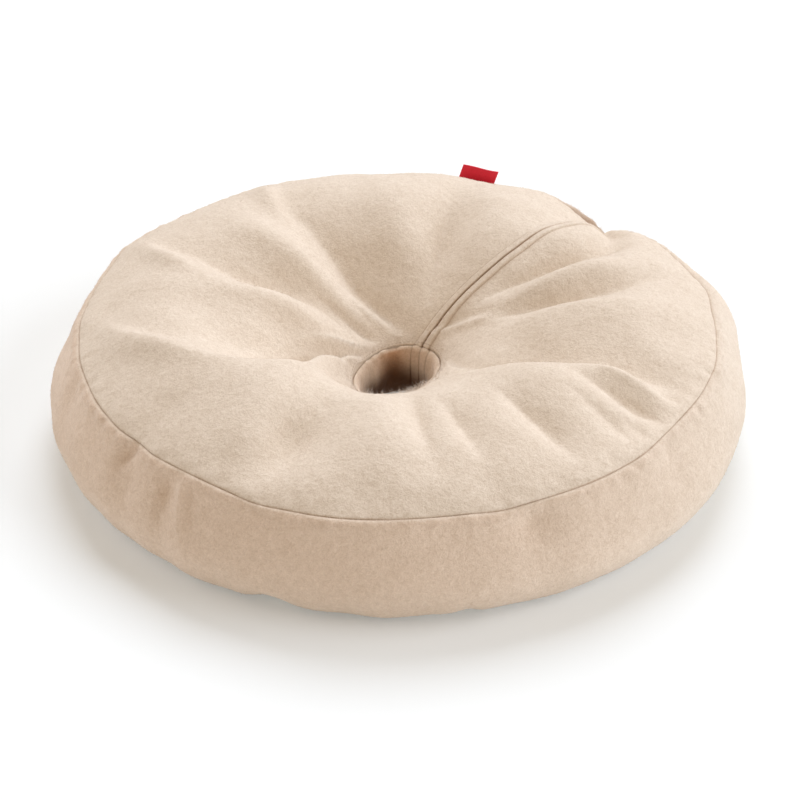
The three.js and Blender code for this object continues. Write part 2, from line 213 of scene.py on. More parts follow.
FINE_FOLDS = (
    Fold((88, 102, 112, 120, 124), 0.0, 0.1, 0.32, 3.0, 6, 9, 0.3),
    Fold((112, 122, 131, 138, 140), 0.0, 0.08, 0.34, -8.0, 14, 11, 0.3),
    Fold((126, 150, 167, 180, 184), 0.0, 0.07, 0.26, 5.0, 7, 6, 0.3),
    Fold((144, 170, 187, 199, 206), 0.0, 0.1, 0.36, -10.0, 6, 12, 0.3),
    Fold((78, 92, 103, 111, 113), 0.0, 0.1, 0.3, -4.5, 9, 14, 0.3),
    Fold((60, 42, 25, 12, 6), 0.0, 0.1, 0.3, 2.5, 6, 9, 0.3),
    Fold((70, 50, 35, 20, 13), 0.0, 0.1, 0.3, -2.5, 8, 8, 0.3),
    Fold((10, -12, -28, -35, -38), 0.0, 0.08, 0.25, -5.0, 14, 8, 0.3),
    Fold((163, 176, 190, 200, 205), -0.1, 0.04, 0.16, 5.0, 30, 14, 0.3),
    Fold((216, 222, 226, 228, 230), 0.0, 0.07, 0.3, -5.0, 30, 26, 0.3),
    Fold((236, 238, 240, 242, 244), 0.1, 0.32, 0.62, -5.0, 28, 28),
    Fold((243, 243, 244, 244, 243), 0.42, 0.72, 0.98, -5.0, 34, 8),
    Fold((212, 212, 212, 203, 180), 0.45, 0.75, 1.02, 6.0, 20, 12),
    Fold((328, 328, 328, 329, 333), 0.7, 0.93, 1.0, -7.0, 12, 5),
    Fold((318, 318, 318, 318, 320), 0.84, 0.94, 1.0, -4.0, 6, 4),
)

BAND_FOLDS = (
    BandFold(219, -8, -0.03, 0.1, 0.36, -6.0, 1.3),
    BandFold(229, 1, 0.0, 0.2, 0.6, -4.0, 1.5),
    BandFold(231.5, 6, 0.0, 0.2, 0.6, 3.0, 1.0),
    BandFold(234.5, 3, 0.05, 0.3, 0.55, -2.0, 1.2),
    BandFold(246.5, 2, 0.0, 0.07, 0.22, -2.0, 2.2),
    BandFold(291.5, 3, -0.03, 0.12, 0.38, -5.5, 3.6),
    BandFold(322, 4, 0.0, 0.1, 0.3, -1.5, 2.0),
    BandFold(196, 0, 0.0, 0.15, 0.5, -2.0, 2.5),
    BandFold(48.5, 0, 0.0, 0.024, 0.1, 3.4, 5.2),
)

FOOT_LIFTS = (
    Dent(249, 3.4, 7),
    Dent(281, 2, 5),
    Dent(130, 3, 5),
    Dent(18, 3, 5),
)


def ease(x: Values) -> Values:
    """Smooth step from 0 to 1."""
    x = np.clip(x, 0.0, 1.0)
    return x * x * (3.0 - 2.0 * x)


def ramp(x: Values, start: Values, stop: Values) -> Values:
    """Smooth step from 0 at start to 1 at stop."""
    return ease((x - start) / (stop - start))


def lobe(x: Values) -> Values:
    """Bell curve of height 1."""
    return np.exp(-(x * x))


def hump(x: Values, reach: float) -> Values:
    """Curve that starts from 0, is 1 at the reach and dies out beyond it."""
    return x / reach * np.exp(1 - x / reach)


def crease(x: Values) -> Values:
    """Curve of height 1 with a narrow point and long flanks."""
    return np.exp(-((x * x + CREASE_ROUND**2) ** (0.5 * CREASE_POWER)) + CREASE_ROUND**CREASE_POWER)


def turn(angle: Values) -> Values:
    """Angle brought into -180 to 180 degrees."""
    return angle - 360.0 * np.round(angle / 360.0)


def swell(way: Values, fold: Fold | BandFold) -> Values:
    """Share of a fold's rise at a share of the way out or down."""
    return np.minimum(ramp(way, fold.start, fold.peak), ramp(way, fold.stop, fold.peak))


def hermite(u: np.ndarray, ends: tuple[Values, Values], slopes: tuple[Values, Values]) -> np.ndarray:
    """Cubic between two values.

    Args:
        u: Shares of the way.
        ends: Values at both ends.
        slopes: Slopes at both ends, as a change over the whole way.

    Returns:
        Value at each share.
    """
    level = ends[0] + (ends[1] - ends[0]) * u * u * (3 - 2 * u)
    return level + (u**3 - 2 * u**2 + u) * slopes[0] + (u**3 - u**2) * slopes[1]


def along_path(path: tuple[float, ...], share: np.ndarray) -> np.ndarray:
    """Bearing of a fold's crest on its smooth way out.

    Args:
        path: Its bearings at the path shares.
        share: Shares of the way out.

    Returns:
        Bearings in degrees.
    """
    knots = np.array(PATH_SHARES)
    values = np.array(path, float)
    ahead = np.minimum(np.arange(len(knots)) + 1, len(knots) - 1)
    behind = np.maximum(np.arange(len(knots)) - 1, 0)
    slopes = (values[ahead] - values[behind]) / (knots[ahead] - knots[behind])
    share = np.clip(share, knots[0], knots[-1])
    k = np.clip(np.searchsorted(knots, share) - 1, 0, len(knots) - 2)
    run = knots[k + 1] - knots[k]
    u = (share - knots[k]) / run
    return hermite(u, (values[k], values[k + 1]), (run * slopes[k], run * slopes[k + 1]))


def unit(vectors: np.ndarray) -> np.ndarray:
    """Vectors of the last axis brought to length 1."""
    return vectors / np.maximum(np.linalg.norm(vectors, axis=-1, keepdims=True), 1e-12)


def lengths(points: np.ndarray) -> np.ndarray:
    """Length along a line of points, from 0 at its first point."""
    step = np.linalg.norm(np.diff(points, axis=0), axis=1)
    return np.concatenate([[0.0], np.cumsum(step)])


def grid_normals(points: np.ndarray) -> np.ndarray:
    """Outward normals of a grid that is closed along both of its directions.

    Args:
        points: Grid of points, rows by columns by 3.

    Returns:
        Unit normals of the same shape.
    """
    along = np.roll(points, -1, 0) - np.roll(points, 1, 0)
    across = np.roll(points, -1, 1) - np.roll(points, 1, 1)
    return unit(np.cross(along, across))


@dataclass(frozen=True)
class Lumps:
    """Smooth random unevenness made of seeded plane waves.

    shortest and longest are wave lengths and size is the usual height, in millimetres; squash shortens
    the way up, so that the waves stand upright.
    """

    shortest: float
    longest: float
    seed: int
    size: float
    squash: float = 1.0
    count: int = 36

    def at(self, points: np.ndarray) -> np.ndarray:
        """Unevenness at points in millimetres.

        Args:
            points: Array whose last axis is x, y, z.

        Returns:
            One height for each point.
        """
        rng = np.random.default_rng(self.seed)
        heading = unit(rng.normal(size=(self.count, 3)))
        length = np.exp(rng.uniform(math.log(self.shortest), math.log(self.longest), self.count))
        phase = rng.uniform(0.0, 2.0 * math.pi, self.count)
        places = points * np.array([1.0, 1.0, self.squash])
        total = np.zeros(points.shape[:-1])
        for k in range(self.count):
            total += np.cos(places @ (heading[k] * (2.0 * math.pi / length[k])) + phase[k])
        return total * (self.size * math.sqrt(2.0 / self.count))


class Signal:
    """Output of a shader node that takes part in arithmetic."""

    def __init__(self, shader: Shader, socket: bpy.types.NodeSocket) -> None:
        """Wraps one output socket of a shader."""
        self.shader = shader
        self.socket = socket

    def _maths(self, operation: str, first: Any, second: Any) -> Signal:
        """Adds one Math node for two values or signals."""
        values = {0: first, 1: second}
        return self.shader.add("ShaderNodeMath", {"operation": operation}, values)

    def __add__(self, other: Any) -> Signal:
        """Sum."""
        return self._maths("ADD", self, other)

    def __radd__(self, other: Any) -> Signal:
        """Sum, reflected."""
        return self._maths("ADD", other, self)

    def __sub__(self, other: Any) -> Signal:
        """Difference."""
        return self._maths("SUBTRACT", self, other)

    def __rsub__(self, other: Any) -> Signal:
        """Difference, reflected."""
        return self._maths("SUBTRACT", other, self)

    def __mul__(self, other: Any) -> Signal:
        """Product."""
        return self._maths("MULTIPLY", self, other)

    def __rmul__(self, other: Any) -> Signal:
        """Product, reflected."""
        return self._maths("MULTIPLY", other, self)


def find_socket(sockets: Any, key: str | int) -> bpy.types.NodeSocket:
    """Input or output of a node by its identifier, or else by its name or place."""
    known = [socket for socket in sockets if socket.identifier == key]
    return known[0] if known else sockets[key]


class Shader:
    """Node tree of one material, with a Principled shader at its end."""

    def __init__(self, name: str) -> None:
        """Makes the material.

        Args:
            name: Name of the material.
        """
        self.material = bpy.data.materials.new(name)
        self.material.use_nodes = True
        self.tree = self.material.node_tree
        self.tree.nodes.clear()
        self.surface = self.tree.nodes.new("ShaderNodeBsdfPrincipled")
        output = self.tree.nodes.new("ShaderNodeOutputMaterial")
        self.tree.links.new(self.surface.outputs["BSDF"], output.inputs["Surface"])

    def _feed(self, node: bpy.types.Node, key: str | int, value: Any) -> None:
        """Sets or links one input of a node.

        Args:
            node: The node.
            key: Place, identifier or name of the input.
            value: Value or signal.
        """
        socket = find_socket(node.inputs, key)
        if isinstance(value, Signal):
            self.tree.links.new(value.socket, socket)
        elif isinstance(value, tuple) and len(value) == 3 and socket.type == "RGBA":
            socket.default_value = (*value, 1.0)
        else:
            socket.default_value = value

    def add(
        self,
        kind: str,
        settings: dict[str, Any] | None = None,
        inputs: dict[str | int, Any] | None = None,
        output: str | int = 0,
    ) -> Signal:
        """Adds a node.

        Args:
            kind: Type of the node.
            settings: Properties that are set first.
            inputs: Values or signals of its sockets.
            output: Name, identifier or place of the output that is wanted.

        Returns:
            The wanted output.
        """
        node = self.tree.nodes.new(kind)
        for name, value in (settings or {}).items():
            setattr(node, name, value)
        for key, value in (inputs or {}).items():
            self._feed(node, key, value)
        return Signal(self, find_socket(node.outputs, output))

    def place(self) -> Signal:
        """Position on the piece, in metres."""
        return self.add("ShaderNodeTexCoord", output="Object")

    def attribute(self, name: str, output: str = "Fac") -> Signal:
        """Number, or vector where the output says so, that the mesh carries under a name."""
        return self.add("ShaderNodeAttribute", {"attribute_name": name}, output=output)

    def noise(self, where: Signal, scale: float, detail: float = 2.0, rough: float = 0.5) -> Signal:
        """Noise around 0.5; scale is lumps in a metre, detail the finer octaves, rough their weight."""
        inputs = {"Vector": where, "Scale": scale, "Detail": detail, "Roughness": rough}
        return self.add("ShaderNodeTexNoise", inputs=inputs, output="Fac")

    def mix(self, share: Signal | float, first: Any, second: Any, blend: str = "MIX") -> Signal:
        """Colour between two colours.

        Args:
            share: Weight of the second colour.
            first: First colour.
            second: Second colour.
            blend: How the second colour is laid over the first.

        Returns:
            The mixed colour.
        """
        inputs = {"Factor_Float": share, "A_Color": first, "B_Color": second}
        settings = {"data_type": "RGBA", "blend_type": blend, "clamp_factor": True}
        return self.add("ShaderNodeMix", settings, inputs, "Result_Color")

    def bump(self, height: Signal, distance: float, strength: float) -> Signal:
        """Normal bent by a height, whose full distance is in metres; strength is the share that is kept."""
        inputs = {"Height": height, "Distance": distance, "Strength": strength}
        return self.add("ShaderNodeBump", inputs=inputs)

    def finish(self, **sockets: Any) -> bpy.types.Material:
        """Feeds the Principled shader.

        Args:
            sockets: Its inputs by name, with underscores for spaces.

        Returns:
            The finished material.
        """
        for name, value in sockets.items():
            self._feed(self.surface, name.replace("_", " "), value)
        return self.material


@dataclass(frozen=True)
class NappedCloth:
    """Brushed woollen cloth: fine matted grain over soft blotches, with painted shade along its seams and
    painted shadow in the hole.
    """

    name: str
    pale: Colour
    deep: Colour
    # Colour of the painted shade along seams, slit and stitch lines, and of the painted shadow deep in the
    # hole.
    seam: Colour
    # Painted warm tint of cloth that lies in shade.
    shade_tint: Colour
    grain: float = 0.97

    def material(self) -> bpy.types.Material:
        """Builds the material.

        Returns:
            The material.
        """
        shader = Shader(self.name)
        where = shader.place()
        broad = shader.noise(where, 11.0, 2.0)
        blotch = shader.noise(where, 60.0, 3.0, 0.6)
        clump = shader.noise(where, 170.0, 3.0, 0.6)
        nap = shader.noise(where, 420.0, 4.0, 0.7)
        fleck = shader.noise(where, 900.0, 2.0, 0.7)
        tone = 0.5 + (broad - 0.5) * 0.15 + (blotch - 0.5) * 0.2 + (nap - 0.5) * self.grain
        tone = tone + (clump - 0.5) * (0.55 * self.grain) + (fleck - 0.5) * (1.05 * self.grain)
        colour = shader.mix(tone, self.deep, self.pale)
        # Painted warm shade tint, then painted shade and shadow, each laid on where the piece's attributes
        # say.
        colour = shader.mix(shader.attribute("shade_tint"), colour, self.shade_tint, "MULTIPLY")
        colour = shader.mix(shader.attribute("seam"), colour, self.seam)
        height = nap * 0.6 + fleck * 0.3 + clump * 0.8 + blotch * 0.5
        return shader.finish(
            Base_Color=colour,
            Roughness=0.86 + nap * 0.12,
            Specular_IOR_Level=0.1,
            Sheen_Weight=0.25,
            Sheen_Roughness=0.5,
            Sheen_Tint=(1.0, 0.96, 0.92, 1.0),
            Normal=shader.bump(height, 0.0013, 0.7),
        )


@dataclass(frozen=True)
class PileFibre:
    """Loose fibres that stand out of the nap."""

    name: str
    pale: Colour
    deep: Colour

    def material(self) -> bpy.types.Material:
        """Builds the material.

        Returns:
            The material.
        """
        shader = Shader(self.name)
        where = shader.place()
        tone = shader.noise(where, 700.0, 2.0, 0.7) * 1.6 - 0.3 + shader.noise(where, 12.0) * 0.2
        return shader.finish(
            Base_Color=shader.mix(tone, self.deep, self.pale),
            Roughness=0.9,
            Specular_IOR_Level=0.1,
        )


@dataclass(frozen=True)
class RibbonWeave:
    """Tightly woven satin ribbon."""

    name: str
    face: Colour
    dark: Colour
    warp: float = 0.9
    weft: float = 0.7

    def material(self) -> bpy.types.Material:
        """Builds the material.

        Returns:
            The material.
        """
        shader = Shader(self.name)
        where = shader.attribute("weave", "Vector")
        threads = []
        for direction, scale in (("X", self.warp), ("Y", self.weft)):
            settings = {"wave_type": "BANDS", "bands_direction": direction}
            inputs = {"Vector": where, "Scale": scale}
            threads.append(shader.add("ShaderNodeTexWave", settings, inputs, "Fac"))
        cloud = shader.noise(where, 0.35, 3.0)
        thread = threads[0] * 0.45 + threads[1] * 0.35
        tone = thread * 0.5 + cloud * 0.6
        return shader.finish(
            Base_Color=shader.mix(tone, self.dark, self.face),
            Roughness=0.62 - thread * 0.12,
            Specular_IOR_Level=0.35,
            Sheen_Weight=0.15,
            Normal=shader.bump(thread, 0.00018, 0.6),
        )


@dataclass(frozen=True)
class SewingThread:
    """Twisted sewing thread."""

    name: str
    pale: Colour
    deep: Colour

    def material(self) -> bpy.types.Material:
        """Builds the material.

        Returns:
            The material.
        """
        shader = Shader(self.name)
        ply = shader.noise(shader.place(), 2600.0, 2.0, 0.6)
        return shader.finish(
            Base_Color=shader.mix(ply, self.deep, self.pale),
            Roughness=0.7,
            Specular_IOR_Level=0.3,
            Normal=shader.bump(ply, 0.0002, 0.5),
        )


@dataclass(frozen=True)
class StudioFloor:
    """Plain pale floor, lit a little from below."""

    name: str
    pale: Colour
    deep: Colour
    glow_tint: Colour = (0.75, 0.85, 0.91)
    glow: float = 0.18

    def material(self) -> bpy.types.Material:
        """Builds the material.

        Returns:
            The material.
        """
        shader = Shader(self.name)
        cloud = shader.noise(shader.place(), 1.3, 2.0)
        return shader.finish(
            Base_Color=shader.mix(cloud, self.deep, self.pale),
            Roughness=0.95,
            Specular_IOR_Level=0.0,
            Emission_Color=(*self.glow_tint, 1.0),
            Emission_Strength=self.glow,
        )


@dataclass
class Section:
    """Rows of the cover's section, once round: up the hole, over the top, down the band, in below."""

    r: np.ndarray
    z: np.ndarray
    along: np.ndarray
    panel: np.ndarray

    def at(self, panel: Panel) -> np.ndarray:
        """Mask of the rows on a panel."""
        return self.panel == panel.value

    def column(self, panel: Panel) -> np.ndarray:
        """Mask of the rows on a panel, as one column."""
        return self.at(panel)[:, None]


@dataclass
class BedForm:
    """Shape of the bed, from the sizes that the solids are made with."""

    bulge_radius: float = 275.0
    bulge_height: float = 38.0
    band_reach: float = 37.0
    band_bow: float = 1.5
    foot_seam_angle: float = 65.0
    seam_radius: float = 250.0
    seam_height: float = 90.0
    crown_radius: float = 168.0
    crown_height: float = 117.0
    hole_radius: float = 29.5
    hole_edge: float = 45.0
    sleeve_foot: float = 7.0
    base_lift: float = 42.0
    base_follow: float = 0.85
    base_edge: float = 7.0
    cloth: float = 2.0
    gap: float = 0.3
    slope_at_hole: float = 1.05
    slope_at_seam: float = -0.62
    hole_stretch: float = 0.12
    hole_stretch_bearing: float = 58.0
    hole_shift: Pair = (-1.0, -2.0)
    hole_tilt: float = 0.09
    hole_influence: float = 110.0
    closing_bearing: float = 41.5
    closing_offset: float = 11.0
    closing_straight: float = 140.0
    top_start: Pair = (36.3, 49.8)
    top_end: Pair = (247.5, 90.8)
    top_steps: int = 500
    band_steps: int = 160
    foot_steps: int = 120
    base_steps: int = 200
    least_flank: float = 0.35
    folds: tuple[Fold, ...] = MAIN_FOLDS + FINE_FOLDS

    def sleeve_line(self, offset: float, steps: int = 8) -> np.ndarray:
        """Line of the sleeve's cloth from its foot up and out over the edge of the hole.

        Args:
            offset: Sideways distance, positive to the stuffed side.
            steps: Points for each stretch of the line.

        Returns:
            Radius and height of each point.
        """
        middle = self.hole_radius + self.cloth / 2
        rise = self.hole_edge - self.sleeve_foot
        knots = np.array(
            [
                (self.hole_radius + 5.0, self.sleeve_foot),
                (self.hole_radius + 2.4, self.sleeve_foot + 7.0),
                (middle, self.sleeve_foot + 0.55 * rise),
                (middle + 0.4, self.hole_edge - 5.0),
                (middle + 1.8, self.hole_edge),
                (middle + 4.6, self.hole_edge + 3.2),
            ]
        )
        padded = np.vstack([2 * knots[0] - knots[1], knots, 2 * knots[-1] - knots[-2]])
        u = np.linspace(0.0, 1.0, steps, endpoint=False)[:, None]
        stretches = []
        for before, start, end, after in zip(padded, padded[1:], padded[2:], padded[3:]):
            stretches.append(hermite(u, (start, end), ((end - before) / 2, (after - start) / 2)))
        line = np.vstack([*stretches, knots[-1:]])
        way = unit(np.gradient(line, axis=0))
        return line + offset * np.stack([way[:, 1], -way[:, 0]], -1)

    def top_height(self, radius: np.ndarray) -> np.ndarray:
        """Height of the even, unfolded top panel.

        Args:
            radius: Radii in millimetres.

        Returns:
            Height at each radius.
        """
        inner = self.crown_radius - self.top_start[0]
        outer = self.top_end[0] - self.crown_radius
        u = (radius - self.top_start[0]) / inner
        v = (radius - self.crown_radius) / outer
        bowl = hermite(u, (self.top_start[1], self.crown_height), (inner * self.slope_at_hole, 0.0))
        brow = hermite(v, (self.crown_height, self.top_end[1]), (0.0, outer * self.slope_at_seam))
        return np.where(radius < self.crown_radius, bowl, brow)

    def section(self) -> Section:
        """Fine even section of the stuffed cover, before its unevenness.

        Returns:
            Rows of the section.
        """
        wall = self.sleeve_line(self.cloth / 2 + self.gap)
        r = np.linspace(self.top_start[0], self.seam_radius, self.top_steps)
        top = np.stack([r, self.top_height(r)], -1)
        z = np.linspace(top[-1, 1], self.bulge_height, self.band_steps)
        bow = ((z - self.bulge_height) / (z[0] - self.bulge_height)) ** self.band_bow
        upper = np.stack([self.bulge_radius - (self.bulge_radius - self.seam_radius) * bow, z], -1)
        flat = self.bulge_radius - self.band_reach
        feet = []
        for start, stop in ((0.0, self.foot_seam_angle), (self.foot_seam_angle, 90.0)):
            angle = np.radians(np.linspace(start, stop, self.foot_steps))[1:]
            radius = flat + self.band_reach * np.cos(angle)
            feet.append(np.stack([radius, self.bulge_height * (1 - np.sin(angle))], -1))
        r = np.linspace(flat, self.hole_radius + self.base_edge, self.base_steps)[1:]
        lift = self.sleeve_foot * ramp(r, self.hole_radius + self.base_lift, self.hole_radius)
        base = np.vstack([feet[1], np.stack([r, self.base_follow * lift], -1)])
        lines = [wall, top, np.vstack([upper[1:], feet[0]]), base]
        line = np.vstack(lines)
        panel = np.concatenate([np.full(len(part), k) for k, part in enumerate(lines)])
        return Section(line[:, 0], line[:, 1], lengths(line), panel)

    def closing_at(self, radius: Values) -> Values:
        """Bearing of the closing at a radius."""
        aside = self.closing_offset * ramp(radius, self.closing_straight, self.hole_radius)
        return self.closing_bearing + np.degrees(aside / radius)

    def share(self, radius: Values) -> Values:
        """Share of the way from the hole's edge to the rim."""
        return (radius - self.top_start[0]) / (self.top_end[0] - self.top_start[0])

    def fold_height(self, bearing: np.ndarray, radius: np.ndarray) -> np.ndarray:
        """Height that the folds add to the top panel.

        Args:
            bearing: Bearings in degrees.
            radius: Radii in millimetres, of a shape that fits the bearings.

        Returns:
            Height in millimetres.
        """
        share = self.share(radius)
        half_way = 0.5 * (self.top_start[0] + self.top_end[0])
        breadth = self.least_flank + (1 - self.least_flank) * radius / half_way
        total = np.zeros(np.broadcast(bearing, radius).shape)
        for fold in self.folds:
            away = np.radians(turn(bearing - along_path(fold.path, share / fold.reach))) * radius
            flank = np.where(away > 0, fold.ccw, fold.cw) * breadth
            section = lobe(away / flank) if fold.rise > 0 else crease(away / flank)
            total += fold.rise * swell(share, fold) * section
        return total

    def place(
        self,
        bearing: np.ndarray,
        r: Values,
        z: Values,
        rim: Values = 0.0,
        band: Values = 0.0,
        foot: Values = 0.0,
        lift: Values = 0.0,
    ) -> np.ndarray:
        """Points of the bed, with the pull on the hole and the unevenness of their rows.

        Args:
            bearing: Bearings in degrees.
            r: Even radii.
            z: Even heights.
            rim: How far each point follows the uneven rim.
            band: How far it follows the band's creases.
            foot: How far it follows the lifts of the foot.
            lift: Height to add.

        Returns:
            Points in millimetres.
        """
        near = ramp(r, self.hole_influence, self.hole_radius)
        angle = np.radians(bearing)
        pull = np.cos(2 * np.radians(bearing - self.hole_stretch_bearing))
        out = np.zeros_like(bearing)
        up = np.zeros_like(bearing)
        for shift in RIM_SHIFTS:
            away = turn(bearing - shift.at)
            weight = rim * lobe(away / np.where(away > 0, shift.ccw, shift.cw))
            out += shift.out * weight
            up += shift.up * weight
        out -= band * sum(dent.sized(bearing) for dent in BAND_CREASES)
        up += foot * sum(dent.sized(bearing) for dent in FOOT_LIFTS)
        radius = r * (1 + self.hole_stretch * near * pull) + out
        raised = ramp(z, self.sleeve_foot, self.hole_edge)
        tilt = self.hole_tilt * near * raised * radius * np.cos(angle)
        x = radius * np.cos(angle) + self.hole_shift[0] * near
        y = radius * np.sin(angle) + self.hole_shift[1] * near
        return np.stack([x, y, z + up + tilt + lift], -1)


def link(name: str, data: bpy.types.ID) -> bpy.types.Object:
    """Links a new object into the scene.

    Args:
        name: Name of the object.
        data: Its mesh, lamp or camera.

    Returns:
        The new object.
    """
    made = bpy.data.objects.new(name, data)
    bpy.context.scene.collection.objects.link(made)
    return made


def mesh_piece(
    name: str,
    points: np.ndarray,
    faces: np.ndarray | list[list[int]],
    corners: np.ndarray,
    material: bpy.types.Material,
) -> bpy.types.Object:
    """Makes a smooth piece and links it into the scene.

    Args:
        name: Name of the piece.
        points: Points in millimetres.
        faces: Corners of each face.
        corners: Place of each face corner on the piece's own map, in face order.
        material: Its finish.

    Returns:
        The new object.
    """
    mesh = bpy.data.meshes.new(name)
    mesh.from_pydata((points.reshape(-1, 3) * MM).tolist(), [], [tuple(f) for f in faces])
    mesh.uv_layers.new(name=BAKE_MAP).data.foreach_set("uv", corners.astype(np.float32).ravel())
    mesh.polygons.foreach_set("use_smooth", [True] * len(mesh.polygons))
    mesh.materials.append(material)
    mesh.update()
    piece = link(name, mesh)
    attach(piece, "root")
    return piece


def ring_faces(rows: int, columns: int, closed: bool) -> np.ndarray:
    """Quads of a grid whose columns close round.

    Args:
        rows: Number of rows.
        columns: Number of columns.
        closed: Whether the last row joins the first.

    Returns:
        Four point numbers for each quad, row by row.
    """
    row = np.arange(rows if closed else rows - 1)[:, None]
    column = np.arange(columns)[None, :]
    following = (row + 1) % rows
    right = (column + 1) % columns
    quad = [row * columns + column, following * columns + column]
    quad += [following * columns + right, row * columns + right]
    return np.stack(np.broadcast_arrays(*quad), -1).reshape(-1, 4)


def cell_corners(places: np.ndarray) -> np.ndarray:
    """Map places of the corners of each cell of a grid, in the order of ring_faces."""
    return np.stack([places[:-1, :-1], places[1:, :-1], places[1:, 1:], places[:-1, 1:]], 2)


def carry(piece: bpy.types.Object, name: str, values: np.ndarray) -> None:
    """Stores one number, or one vector, for each point of a piece.

    Args:
        piece: The piece.
        name: Name of the attribute.
        values: The numbers, or the vectors in millimetres.
    """
    vectors = values.size == 3 * len(piece.data.vertices)
    attribute = piece.data.attributes.new(name, "FLOAT_VECTOR" if vectors else "FLOAT", "POINT")
    attribute.data.foreach_set("vector" if vectors else "value", values.astype(np.float32).ravel())


def map_cells(count: int, shape: np.ndarray) -> np.ndarray:
    """Places on a map that is shared out in equal cells, one for each of many small parts.

    Args:
        count: Number of parts.
        shape: Places of one part's face corners inside its cell, from 0 to 1.

    Returns:
        Map places of all the corners, part by part.
    """
    across = math.ceil(math.sqrt(count))
    cell = np.stack([np.arange(count) % across, np.arange(count) // across], -1)
    inside = CELL_MARGIN + (1 - 2 * CELL_MARGIN) * shape
    return ((cell[:, None, :] + inside[None, :, :]) / across).reshape(-1, 2)


